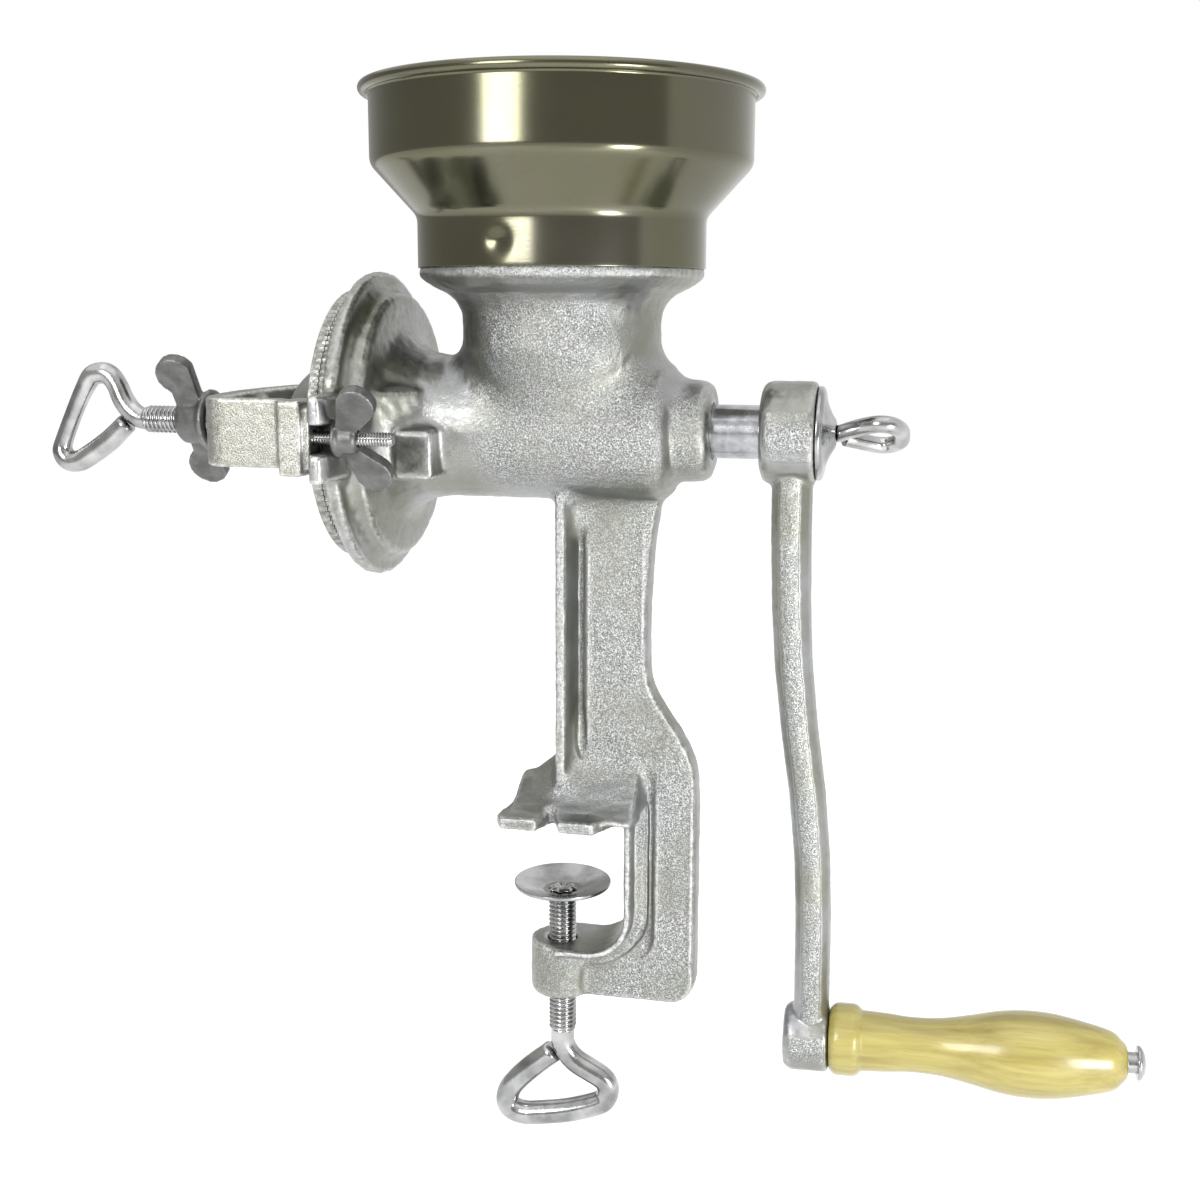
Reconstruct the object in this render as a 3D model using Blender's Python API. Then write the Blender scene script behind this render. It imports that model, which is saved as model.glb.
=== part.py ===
"""Hand-cranked grain mill with a table clamp, modelled piece by piece.

Lengths are in metres and +Z is up. The origin lies under the clamp's upper jaw, on the axis of
the clamp screw. +X runs along the barrel from the grinding plates to the crank.
"""

import math

import bmesh
import bpy
from mathutils import Vector


# Fits shared by all pieces
GAP = 0.0003
OVERRUN = 0.002
MERGE = 0.000001

# Main places
BARREL_AXIS_Z = 0.1487
CRANK_RADIUS = 0.2343

# Neck and collar of the casting, about the hopper's axis
RING_STEP = 0.0004
RING_TOP = 0.0580
RING_EDGE = 0.0028
NECK_R = 0.0367
NECK_WAIST_TOP = 0.0400
NECK_WAIST_BOTTOM = 0.0300
NECK_WALL = 0.0050
THROAT_R = 0.0180
SPIGOT_HEIGHT = 0.0060
SPIGOT_WALL = 0.0034

# Barrel, plate disc and crank bearing of the casting, about the barrel's axis
BARREL_R = 0.0265
CHAMBER_R = 0.0206
CHAMBER_END_X = 0.0340
DISC_FACE_X = -0.0736
DISC_BACK_X = -0.0681
DISC_R = 0.0574
BACK_BOSS_X = -0.0612
BACK_BOSS_R = 0.0500
FLARE_END_X = -0.0420
BARREL_END_X = 0.0360
BEARING_START_X = 0.0440
BEARING_END_X = 0.0572
BEARING_R = 0.0190
BEARING_ROUND = 0.0030
SHAFT_R = 0.0099
SHAFT_CLEARANCE = 0.0003

# Slotted ears and the rest lug beside the barrel
EAR_FACE_X = -0.0720
EAR_THICK = 0.0070
EAR_BEYOND_STUD = 0.0110
EAR_HALF_HEIGHT = 0.0150
EAR_ROOT_X = -0.0480
STUD_Y = 0.0630
STUD_SLOT = 0.0100
LUG_X = -0.0540
LUG_LENGTH = 0.0140
LUG_REACH = 0.0350
LUG_TOP = 0.0060
LUG_BOTTOM = -0.0168
LUG_SLOPE = 0.0055

# Leg and clamp frame of the casting
WEB_HALF = 0.0040
RIB_X = 0.0005
RIB_THICK = 0.0048
RIB_HALF = 0.0150
FLANGE_THICK = 0.0028
RIB_ROOT = 0.0078
LEG_BACK_X = 0.0343
SPINE_BACK_X = 0.0541
SPINE_FRONT_X = 0.0274
SHOULDER_TOP_Z = 0.0560
SHOULDER_BOTTOM_Z = 0.0180
ARM_TOP_Z = -0.0536
ARM_BOTTOM_Z = -0.0758
ARM_CORNER_R = 0.0105
INNER_CORNER_R = 0.0150
BOSS_R = 0.0125
JAW_THICK = 0.0046
JAW_LEFT_X = -0.0160
JAW_TOE_LEFT_X = -0.0196
JAW_TOE_RIGHT_X = 0.0212
JAW_HALF = 0.0300
JAW_NOTCH_X = 0.0011
JAW_NOTCH_HALF = 0.0043
JAW_NOTCH_DEPTH = 0.0110
JAW_RIDGE_Z = 0.0150
JAW_RIDGE_HALF = 0.0255
PANEL_HALF = 0.0057
PANEL_EDGE = 0.0006
PANEL_LEG_X = 0.0104
PANEL_SPINE_X = 0.0376
PANEL_ARM_Z = -0.0592
PANEL_CORNER_R = 0.0090
PANEL_SHOULDER_Z = 0.1040
PANEL_FOOT_Z = 0.0180

# Hopper
SHEET = 0.0010
HOPPER_COLLAR_R = 0.0527
HOPPER_COLLAR_TOP = 0.0766
HOPPER_BOWL_R = 0.0694
HOPPER_BOWL_BOTTOM = 0.0947
HOPPER_RIM_Z = 0.1206
HOPPER_RIM_OVERHANG = 0.0017
HOPPER_BEAD_R = 0.0020
HOPPER_BEND = 0.0022
HOPPER_SEAT = 0.0003

# Grinding plates
PLATE_R = 0.0506
PLATE_THICK = 0.0034
PLATE_BORE_R = 0.0212
PLATE_TEETH = 48
PLATE_TOOTH_DEPTH = 0.0010
PLATE_PIN_RING_R = 0.0400
DRIVE_PIN_RING_R = 0.0255
PIN_R = 0.0022
PIN_IN_PLATE = 0.0014
PIN_IN_SEAT = 0.0040

# Auger
CORE_R = 0.0082
FLIGHT_R = 0.0200
FLIGHT_PITCH = 0.0260
FLIGHT_ROOT = 0.0070
FLIGHT_TIP = 0.0032
FLIGHT_START_X = -0.0690
FLIGHT_END_X = 0.0310
HEAD_R = 0.0290
HEAD_NOSE_X = -0.1065
HEAD_NOSE_R = 0.0110
SHAFT_END_X = 0.0925
SCREW_SOCKET_DEPTH = 0.0200

# Thrust ball and adjusting screw
BALL_R = 0.0040
BALL_POCKET_DEPTH = 0.0040
ADJUST_SCREW_R = 0.0054
ADJUST_SCREW_NECK_X = -0.1708
ADJUST_WIRE_R = 0.0043
ADJUST_LOOP_LENGTH = 0.0418
ADJUST_LOOP_HALF = 0.0221

# Bridge
BRIDGE_FOOT_X = -0.0749
BRIDGE_FOOT_THICK = 0.0085
BRIDGE_ARM_Y = 0.0523
BRIDGE_WALL = 0.0078
BRIDGE_FLARE = 0.0078
BRIDGE_FOOT_INNER = 0.0524
BRIDGE_BEYOND_STUD = 0.0075
BRIDGE_CROWN_X = -0.1290
BRIDGE_ARM_HALF = 0.0123
BRIDGE_FOOT_HALF = 0.0130
BRIDGE_STEP_HALF = 0.0105
BRIDGE_HUB_R = 0.0098
BRIDGE_HUB_OUTER_X = -0.1408
BRIDGE_HUB_INNER_X = -0.1195

# Studs and wing nuts
STUD_R = 0.0025
STUD_TAIL_X = -0.0440
NUT_HUB_R = 0.0056
NUT_BASE_R = 0.0064
NUT_HUB_LENGTH = 0.0084
NUT_WING_R = 0.0068
NUT_WING_RADIAL = 0.0146
NUT_WING_AXIAL = 0.0106
NUT_WING_THICK = 0.0044
LOCK_HUB_R = 0.0100
LOCK_HUB_LENGTH = 0.0138
LOCK_BASE_R = 0.0122
LOCK_WING_R = 0.0082
LOCK_WING_RADIAL = 0.0220
LOCK_WING_AXIAL = 0.0090
LOCK_WING_THICK = 0.0048
NUT_TURN = math.radians(33)

# Clamp screw and swivel pad
CLAMP_SCREW_R = 0.0055
CLAMP_SCREW_NECK_Z = -0.0937
CLAMP_WIRE_R = 0.00475
CLAMP_LOOP_LENGTH = 0.0435
CLAMP_LOOP_HALF = 0.0282
PAD_R = 0.0191
PAD_TOP_Z = -0.0301
PAD_DISH = 0.0036
PAD_SHEET = 0.0018
PAD_STEM_R = 0.0038
PAD_HOLE_R = 0.0042
STAKE_R = 0.0056
STAKE_HEIGHT = 0.0012

# Crank arm
HUB_R = 0.0188
HUB_START_X = 0.0750
HUB_LENGTH = 0.0200
HUB_ROUND = 0.0035
ARM_HALF_THICK = 0.0074
ARM_TIP_HALF_THICK = 0.0068
ARM_HALF_WIDTH = 0.0115
ARM_TIP_HALF_WIDTH = 0.0090
ARM_CENTRE_X = 0.0865
ARM_SWAY = 0.0130
ARM_BOSS_X = 0.0893
ARM_BOSS_LENGTH = 0.0172
ARM_BOSS_R = 0.0130

# Crank screw and its dished washer
WASHER_R = 0.0171
WASHER_SHEET = 0.0014
WASHER_RISE = 0.0050
WASHER_SHARES = [(0.20, 0.92), (0.28, 0.74), (0.45, 0.58), (0.75, 0.40)]
CRANK_SCREW_R = 0.0040
CRANK_WIRE_R = 0.0031
CRANK_LOOP_LENGTH = 0.0260
CRANK_LOOP_HALF = 0.0158
CRANK_SCREW_TURN = math.radians(-68)

# Grip and its bolt
GRIP_TILT = math.radians(1.35)
GRIP_LENGTH = 0.1100
GRIP_END_R = 0.0137
GRIP_RING_LENGTH = 0.0122
GRIP_WAIST_R = 0.0103
GRIP_BELLY_R = 0.0160
GRIP_TAIL_R = 0.0082
GRIP_BOLT_R = 0.0039
GRIP_BOLT_HEAD_R = 0.0064
GRIP_BOLT_HEAD_THICK = 0.0034
GRIP_END_PLAY = 0.0012
GRIP_BORE_CLEARANCE = 0.0004

# Sides of the round pieces
ROUND_LARGE = 36
ROUND_MEDIUM = 24
ROUND_SMALL = 16
WIRE_SIDES = 8
FLIGHT_STEPS = 12

# Outlines as shares of the sizes that they follow
# Neck: share of the height from the axis to its waist, share of its radius along X, then along Y
NECK_SHARES = [(-0.25, 0.84, 0.66), (0.0, 0.94, 0.715), (0.25, 0.97, 0.735), (0.50, 0.985, 0.81),
               (0.75, 0.995, 0.915), (1.0, 1.0, 1.0)]
# Neck under the ring: share of the way from waist to ring, share of the widening
RING_FLARE_SHARES = [(0.0, 0.00), (0.20, 0.03), (0.42, 0.14), (0.62, 0.36), (0.78, 0.70)]
# Bridge's rounded corner: share of the depth from arm to crown, share of the half width
BRIDGE_CORNER_SHARES = [(0.0, 1.0), (0.22, 0.985), (0.40, 0.94), (0.56, 0.86), (0.70, 0.74),
                        (0.86, 0.52), (0.96, 0.28), (1.0, 0.08)]
# Shoulder of the leg: share of the step outwards, share of the drop
SHOULDER_SHARES = [(0.0, -0.12), (0.03, 0.05), (0.14, 0.20), (0.34, 0.37), (0.58, 0.55), (0.79, 0.73),
                   (0.92, 0.90), (0.98, 1.08), (1.0, 1.35)]
# Crank arm: share of the way down, share of the sideways bend, share of the taper
ARM_BEND_SHARES = [(0.00, 0.00, 0.0), (0.14, 0.01, 0.1), (0.26, 0.07, 0.3), (0.36, 0.18, 0.6),
                   (0.47, 0.40, 0.8), (0.58, 0.68, 0.9), (0.69, 0.87, 1.0), (0.80, 0.96, 1.0),
                   (1.00, 1.00, 1.0)]
# Bent loops: share of the length past the neck, share of the half width, share of the bar's radius
ADJUST_LOOP_SHARES = [(0.00, 0.00, 1.0), (0.08, 0.04, 1.0), (0.17, 0.18, 1.0), (0.25, 0.42, 1.0),
                      (0.32, 0.76, 0.96), (0.40, 0.96, 0.98), (0.49, 1.00, 1.0), (0.60, 0.93, 0.95),
                      (0.69, 0.68, 0.85), (0.80, 0.26, 0.80), (0.97, -0.50, 0.82), (1.00, -0.78, 0.95),
                      (0.94, -0.97, 1.0), (0.82, -0.99, 1.0), (0.69, -0.86, 1.0), (0.44, -0.51, 1.0),
                      (0.225, -0.11, 0.95)]
CLAMP_LOOP_SHARES = [(0.00, 0.00, 1.0), (0.13, 0.00, 1.0), (0.25, 0.08, 1.0), (0.35, 0.24, 1.0),
                     (0.43, 0.48, 1.0), (0.51, 0.71, 0.97), (0.60, 0.80, 0.95), (0.72, 0.77, 0.95),
                     (0.80, 0.62, 1.0), (0.91, 0.13, 1.0), (0.98, -0.41, 1.0), (1.00, -0.68, 1.0),
                     (0.965, -0.91, 1.0), (0.865, -1.00, 1.0), (0.70, -0.91, 1.0), (0.49, -0.60, 1.0),
                     (0.265, -0.175, 0.97)]
CRANK_LOOP_SHARES = [(0.00, 0.00, 1.0), (0.10, 0.16, 1.0), (0.25, 0.45, 1.0), (0.45, 0.78, 1.0),
                     (0.66, 0.99, 1.0), (0.85, 0.90, 1.0), (0.98, 0.50, 1.0), (1.00, 0.00, 1.0),
                     (0.98, -0.50, 1.0), (0.85, -0.90, 1.0), (0.66, -0.99, 1.0), (0.46, -0.80, 1.0),
                     (0.25, -0.52, 1.0), (0.12, -0.38, 1.0)]
# Grip: share of the length, share of the way from waist to belly radius
GRIP_BODY_SHARES = [(0.20, 0.12), (0.28, 0.00), (0.38, 0.08), (0.48, 0.42), (0.58, 0.84),
                    (0.67, 1.00), (0.76, 0.92), (0.86, 0.56), (0.95, 0.10)]


def clear_scene():
    for old in list(bpy.data.objects):
        bpy.data.objects.remove(old, do_unlink=True)


def material(name, colour, metallic, roughness):
    made = bpy.data.materials.new(name)
    made.use_nodes = True
    shader = made.node_tree.nodes["Principled BSDF"]
    shader.inputs["Base Color"].default_value = (*colour, 1)
    shader.inputs["Metallic"].default_value = metallic
    shader.inputs["Roughness"].default_value = roughness
    return made


def add_object(name, shape, finish=None, location=(0, 0, 0), rotation=(0, 0, 0), parent=None):
    """Turns a bmesh into a named object with smooth round faces."""
    if shape.calc_volume(signed=True) < 0:
        bmesh.ops.reverse_faces(shape, faces=shape.faces)
    mesh = bpy.data.meshes.new(name)
    shape.to_mesh(mesh)
    shape.free()
    mesh.shade_smooth()
    mesh.set_sharp_from_angle(angle=math.radians(35))
    made = bpy.data.objects.new(name, mesh)
    bpy.context.scene.collection.objects.link(made)
    made.location = location
    made.rotation_euler = rotation
    made.parent = parent
    if finish:
        mesh.materials.append(finish)
    return made


def add_tool(name, shape, location=(0, 0, 0), rotation=(0, 0, 0), parent=None):
    """An object that only serves a Boolean."""
    tool = add_object(name, shape, None, location, rotation, parent)
    tool.hide_render = True
    tool.display_type = 'WIRE'
    return tool


def combine(target, tools, operation):
    for tool in tools:
        step = target.modifiers.new(tool.name, 'BOOLEAN')
        step.operation = operation
        step.solver = 'EXACT'
        step.object = tool


def add_axis(name, location):
    empty = bpy.data.objects.new(name, None)
    bpy.context.scene.collection.objects.link(empty)
    empty.location = location
    return empty


def turned(profile, axis, steps):
    """Solid of revolution about X or Z from (along, radius) points.

    A profile that starts and ends on the axis is solid; any other is closed into a ring.
    """
    shape = bmesh.new()
    wall = [point for point in profile if point[1] > 0]
    if axis == 'X':
        verts = [shape.verts.new((along, 0, radius)) for along, radius in wall]
        direction = (1, 0, 0)
    else:
        verts = [shape.verts.new((radius, 0, along)) for along, radius in wall]
        direction = (0, 0, 1)
    edges = [shape.edges.new(pair) for pair in zip(verts, verts[1:])]
    if len(wall) == len(profile):
        edges.append(shape.edges.new((verts[-1], verts[0])))
    bmesh.ops.spin(shape, geom=verts + edges, cent=(0, 0, 0), axis=direction,
                   angle=2 * math.pi, steps=steps, use_merge=True)
    bmesh.ops.remove_doubles(shape, verts=shape.verts, dist=MERGE)
    bmesh.ops.holes_fill(shape, edges=shape.edges, sides=steps)
    bmesh.ops.recalc_face_normals(shape, faces=shape.faces)
    return shape


def lofted(rings):
    """Closed solid through rings of equal point counts, capped at both ends."""
    shape = bmesh.new()
    rows = [[shape.verts.new(point) for point in ring] for ring in rings]
    count = len(rows[0])
    for lower, upper in zip(rows, rows[1:]):
        for i in range(count):
            j = (i + 1) % count
            shape.faces.new((lower[i], lower[j], upper[j], upper[i]))
    shape.faces.new(rows[0][::-1])
    shape.faces.new(rows[-1])
    bmesh.ops.recalc_face_normals(shape, faces=shape.faces)
    return shape


def prism(outline, low, high, normal):
    """Extrudes an outline along X, Y or Z from low to high."""
    def place(point, depth):
        u, v = point
        return {'X': (depth, u, v), 'Y': (u, depth, v), 'Z': (u, v, depth)}[normal]
    return lofted([[place(point, depth) for point in outline] for depth in (low, high)])


def arc(centre, radius, start, end, steps):
    """Points on an arc, angles in degrees."""
    points = []
    for i in range(steps + 1):
        angle = math.radians(start + (end - start) * i / steps)
        points.append((centre[0] + radius * math.cos(angle), centre[1] + radius * math.sin(angle)))
    return points


def between(points, samples):
    """Smooth curve through the points, with some samples on each span."""
    curve = []
    padded = [points[0]] + points + [points[-1]]
    for a, b, c, d in zip(padded, padded[1:], padded[2:], padded[3:]):
        for i in range(samples):
            t = i / samples
            curve.append(0.5 * (2 * b + (c - a) * t + (2 * a - 5 * b + 4 * c - d) * t ** 2
                                + (3 * b - a - 3 * c + d) * t ** 3))
    curve.append(points[-1])
    return curve


def swept(path, radii, sides):
    """Round bar along a path, one radius for each point."""
    tangents = []
    for i, point in enumerate(path):
        ahead = path[min(i + 1, len(path) - 1)]
        behind = path[max(i - 1, 0)]
        tangents.append((ahead - behind).normalized())
    side = tangents[0].orthogonal().normalized()
    rings = []
    for point, tangent, radius in zip(path, tangents, radii):
        side = (side - tangent * side.dot(tangent)).normalized()
        up = tangent.cross(side)
        turns = [2 * math.pi * i / sides for i in range(sides)]
        rings.append([point + radius * (math.cos(a) * side + math.sin(a) * up) for a in turns])
    return lofted(rings)


def casting_finishes():
    return {
        "cast": material("tinned_casting", (0.62, 0.62, 0.60), 0.9, 0.42),
        "sheet": material("polished_tinplate", (0.52, 0.52, 0.47), 1.0, 0.20),
        "plated": material("plated_steel", (0.66, 0.66, 0.66), 1.0, 0.22),
        "dark": material("dull_steel", (0.26, 0.26, 0.25), 0.9, 0.48),
        "plate": material("ground_iron", (0.45, 0.45, 0.43), 0.9, 0.45),
        "wood": material("varnished_wood", (0.72, 0.58, 0.24), 0.0, 0.30),
    }


def neck_rings():
    """Sections of the neck, round at its waist and narrowed to the barrel's width below it."""
    rings = []
    turns = [2 * math.pi * i / ROUND_LARGE for i in range(ROUND_LARGE)]

    def add(z, along, across):
        rings.append([(along * math.cos(a), across * math.sin(a), z) for a in turns])

    for height, along, across in NECK_SHARES:
        add(NECK_WAIST_BOTTOM * height, NECK_R * along, NECK_R * across)
    rise = RING_TOP - RING_EDGE - NECK_WAIST_TOP
    ring = HOPPER_COLLAR_R - RING_STEP
    for up, out in RING_FLARE_SHARES:
        radius = NECK_R + (ring - NECK_R) * out
        add(NECK_WAIST_TOP + rise * up, radius, radius)
    add(RING_TOP - RING_EDGE, ring, ring)
    add(RING_TOP, ring, ring)
    return rings


def spigot_profile():
    return [(NECK_WAIST_TOP, 0), (NECK_WAIST_TOP, THROAT_R), (RING_TOP - RING_EDGE, spigot_radius()),
            (RING_TOP + SPIGOT_HEIGHT, spigot_radius()), (RING_TOP + SPIGOT_HEIGHT, 0)]


def spigot_radius():
    return HOPPER_COLLAR_R - SHEET - GAP


def throat_profile():
    """Inside of the neck; its flare keeps to the outer flare's curve."""
    bowl = spigot_radius() - SPIGOT_WALL
    waist = NECK_R - NECK_WALL
    rise = RING_TOP - RING_EDGE - NECK_WAIST_TOP
    profile = [(0, 0), (0, THROAT_R), (NECK_WAIST_BOTTOM * 0.25, THROAT_R), (NECK_WAIST_BOTTOM, waist)]
    profile += [(NECK_WAIST_TOP + rise * up, waist + (bowl - waist) * out) for up, out in RING_FLARE_SHARES]
    profile += [
        (RING_TOP - RING_EDGE, bowl),
        (RING_TOP + SPIGOT_HEIGHT + OVERRUN, bowl),
        (RING_TOP + SPIGOT_HEIGHT + OVERRUN, 0),
    ]
    return profile


def barrel_profile():
    flare = FLARE_END_X - BACK_BOSS_X
    rise = BACK_BOSS_R - BARREL_R
    shoulder = BEARING_START_X - BARREL_END_X
    step = BARREL_R - BEARING_R
    return [
        (DISC_FACE_X, 0),
        (DISC_FACE_X, DISC_R - BEARING_ROUND / 3),
        (DISC_FACE_X + BEARING_ROUND / 3, DISC_R),
        (DISC_BACK_X - BEARING_ROUND / 3, DISC_R),
        (DISC_BACK_X, DISC_R - BEARING_ROUND / 3),
        (DISC_BACK_X, BACK_BOSS_R),
        (BACK_BOSS_X - BEARING_ROUND / 2, BACK_BOSS_R),
        (BACK_BOSS_X, BACK_BOSS_R - BEARING_ROUND / 2),
        (BACK_BOSS_X + flare * 0.05, BARREL_R + rise * 0.42),
        (BACK_BOSS_X + flare * 0.30, BARREL_R + rise * 0.18),
        (BACK_BOSS_X + flare * 0.60, BARREL_R + rise * 0.05),
        (FLARE_END_X, BARREL_R),
        (BARREL_END_X, BARREL_R),
        (BARREL_END_X + shoulder * 0.45, BARREL_R - step * 0.12),
        (BARREL_END_X + shoulder * 0.80, BARREL_R - step * 0.42),
        (BEARING_START_X, BEARING_R + step * 0.10),
        (BEARING_START_X + BEARING_ROUND / 3, BEARING_R),
        (BEARING_END_X - BEARING_ROUND, BEARING_R * 0.97),
        (BEARING_END_X - BEARING_ROUND * 0.3, BEARING_R * 0.97 - BEARING_ROUND * 0.4),
        (BEARING_END_X, BEARING_R * 0.97 - BEARING_ROUND),
        (BEARING_END_X, 0),
    ]


def chamber_profile():
    bore = SHAFT_R + SHAFT_CLEARANCE
    return [
        (DISC_FACE_X - OVERRUN, 0),
        (DISC_FACE_X - OVERRUN, CHAMBER_R),
        (CHAMBER_END_X, CHAMBER_R),
        (CHAMBER_END_X, bore),
        (BEARING_END_X + OVERRUN, bore),
        (BEARING_END_X + OVERRUN, 0),
    ]


def ear_outline(side):
    back = EAR_FACE_X + EAR_THICK
    reach = STUD_Y + EAR_BEYOND_STUD
    tip = EAR_THICK / 2
    outline = [
        (DISC_FACE_X + OVERRUN / 2, 0),
        (EAR_FACE_X, reach * 0.6),
        (EAR_FACE_X, reach - tip),
        (EAR_FACE_X + tip * 0.5, reach),
        (back - tip * 0.5, reach),
        (back, reach - tip),
        (back, reach * 0.60),
        (BACK_BOSS_X, reach * 0.54),
        (EAR_ROOT_X, BARREL_R),
        (EAR_ROOT_X, 0),
    ]
    return [(x, y * side) for x, y in outline]


def slot_outline(side):
    half = STUD_SLOT / 2
    inner = [(y, z) for z, y in arc((0, STUD_Y), half, 0, -180, 6)]
    mouth = STUD_Y + EAR_BEYOND_STUD + OVERRUN
    outline = [(mouth, -half)] + inner[::-1] + [(mouth, half)]
    return [(y * side, z) for y, z in outline]


def lug_rings():
    """Square lug that stands out of the barrel; its top slopes down to its end."""
    rings = []
    for reach, drop in ((0, 0), (LUG_REACH, LUG_SLOPE)):
        left, right = LUG_X, LUG_X + LUG_LENGTH
        low, high = LUG_BOTTOM, LUG_TOP - drop
        rings.append([(left, -reach, low), (right, -reach, low),
                      (right, -reach, high), (left, -reach, high)])
    return rings


def leg_back():
    """Outer edge of the leg and the C of the clamp in side view, from the bearing to the lower arm."""
    drop = SHOULDER_TOP_Z - SHOULDER_BOTTOM_Z
    step = SPINE_BACK_X - LEG_BACK_X
    flare = BEARING_START_X - LEG_BACK_X
    under = BARREL_AXIS_Z - BEARING_R * 0.9
    corner = (SPINE_BACK_X - ARM_CORNER_R, ARM_BOTTOM_Z + ARM_CORNER_R)
    outer = [
        (BEARING_START_X, under),
        (LEG_BACK_X + flare * 0.62, under - flare * 0.50),
        (LEG_BACK_X + flare * 0.34, under - flare * 1.30),
        (LEG_BACK_X + flare * 0.14, under - flare * 2.70),
        (LEG_BACK_X, under - flare * 5.00),
    ]
    outer += [(LEG_BACK_X + step * a, SHOULDER_TOP_Z - drop * b) for a, b in SHOULDER_SHARES]
    return outer + arc(corner, ARM_CORNER_R, 0, -90, 5)


def web_outline():
    """Side view of the leg and the C of the clamp."""
    inner = [
        (0, ARM_BOTTOM_Z),
        (0, ARM_TOP_Z - RIB_THICK / 2),
        (SPINE_FRONT_X + RIB_THICK / 2, ARM_TOP_Z - RIB_THICK / 2),
        (SPINE_FRONT_X + RIB_THICK / 2, JAW_THICK / 2),
        (RIB_X + RIB_THICK / 2, JAW_THICK / 2),
        (RIB_X + RIB_THICK / 2, BARREL_AXIS_Z),
        (BEARING_START_X, BARREL_AXIS_Z),
    ]
    return leg_back() + inner


def panel_outline():
    """Raised face of the web, set off from the rib and from the inner flange by a channel."""
    outer = [(x - PANEL_EDGE, max(z, ARM_BOTTOM_Z + PANEL_EDGE)) for x, z in leg_back()]
    inside = (PANEL_SPINE_X - PANEL_CORNER_R, PANEL_ARM_Z + PANEL_CORNER_R)
    bend = (PANEL_LEG_X - RIB_X) / 2
    inner = [(BOSS_R * 0.8, ARM_BOTTOM_Z + PANEL_EDGE), (BOSS_R * 0.8, PANEL_ARM_Z)]
    inner += arc(inside, PANEL_CORNER_R, -90, 0, 4)
    inner += [
        (PANEL_SPINE_X, PANEL_FOOT_Z),
        (PANEL_LEG_X, PANEL_FOOT_Z),
        (PANEL_LEG_X, PANEL_SHOULDER_Z),
        (PANEL_LEG_X - bend * 0.3, PANEL_SHOULDER_Z + bend * 1.6),
        (PANEL_LEG_X - bend, PANEL_SHOULDER_Z + bend * 3),
        (PANEL_LEG_X - bend, BARREL_AXIS_Z),
        (BEARING_START_X - PANEL_EDGE, BARREL_AXIS_Z),
    ]
    return outer + inner


def flange_outline(thick):
    """Side view of the inner flange of the C, from the jaw down and along the lower arm."""
    inside = (SPINE_FRONT_X - INNER_CORNER_R, ARM_TOP_Z + INNER_CORNER_R)
    return ([(SPINE_FRONT_X, JAW_THICK * 0.2), (SPINE_FRONT_X + thick, JAW_THICK)]
            + arc(inside, INNER_CORNER_R + thick, 0, -90, 7)
            + [(0, ARM_TOP_Z - thick), (0, ARM_TOP_Z)]
            + arc(inside, INNER_CORNER_R, -90, 0, 7))


def jaw_outline():
    """Plan of the upper jaw."""
    half = [
        (JAW_LEFT_X, 0),
        (JAW_TOE_LEFT_X, JAW_HALF - JAW_THICK),
        (JAW_TOE_LEFT_X + JAW_THICK / 2, JAW_HALF),
        (JAW_TOE_RIGHT_X - JAW_THICK / 2, JAW_HALF),
        (JAW_TOE_RIGHT_X, JAW_HALF - JAW_THICK),
        (SPINE_FRONT_X - JAW_THICK / 2, RIB_HALF * 1.15),
        (SPINE_FRONT_X + RIB_THICK, RIB_HALF),
    ]
    return half + [(x, -y) for x, y in half[:0:-1]]


def notch_outline(side):
    """Notch that parts the jaw's two toes."""
    slope = JAW_NOTCH_HALF / JAW_NOTCH_DEPTH
    far = JAW_HALF + OVERRUN
    half = (JAW_NOTCH_DEPTH + OVERRUN) * slope
    foot = (JAW_NOTCH_X, JAW_HALF - JAW_NOTCH_DEPTH)
    return [(x, y * side) for x, y in ((JAW_NOTCH_X - half, far), foot, (JAW_NOTCH_X + half, far))]


def ridge_rings():
    """Mound between the jaw's plate and the web above it, rising from the free end to the rib."""
    height = JAW_RIDGE_Z - JAW_THICK
    base = JAW_THICK * 0.9
    section_shares = [(1.0, 0.0), (0.70, 0.24), (0.42, 0.56), (0.20, 0.88), (0.0, 1.0)]
    free = JAW_LEFT_X
    run = RIB_X - free
    rings = []
    for x, lift in ((free + RIB_THICK * 0.1, 0.95), (free + run * 0.35, 1.1), (free + run * 0.70, 1.55),
                    (free + run * 0.95, 1.95), (RIB_X + RIB_THICK, 2.0), (SPINE_FRONT_X + RIB_THICK, 1.9)):
        right = [(x, JAW_RIDGE_HALF * a, base + height * lift * b) for a, b in section_shares]
        left = [(x, -y, z) for x, y, z in right[-2::-1]]
        low = JAW_THICK / 2
        rings.append(right + left + [(x, -JAW_RIDGE_HALF, low), (x, JAW_RIDGE_HALF, low)])
    return rings


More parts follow.
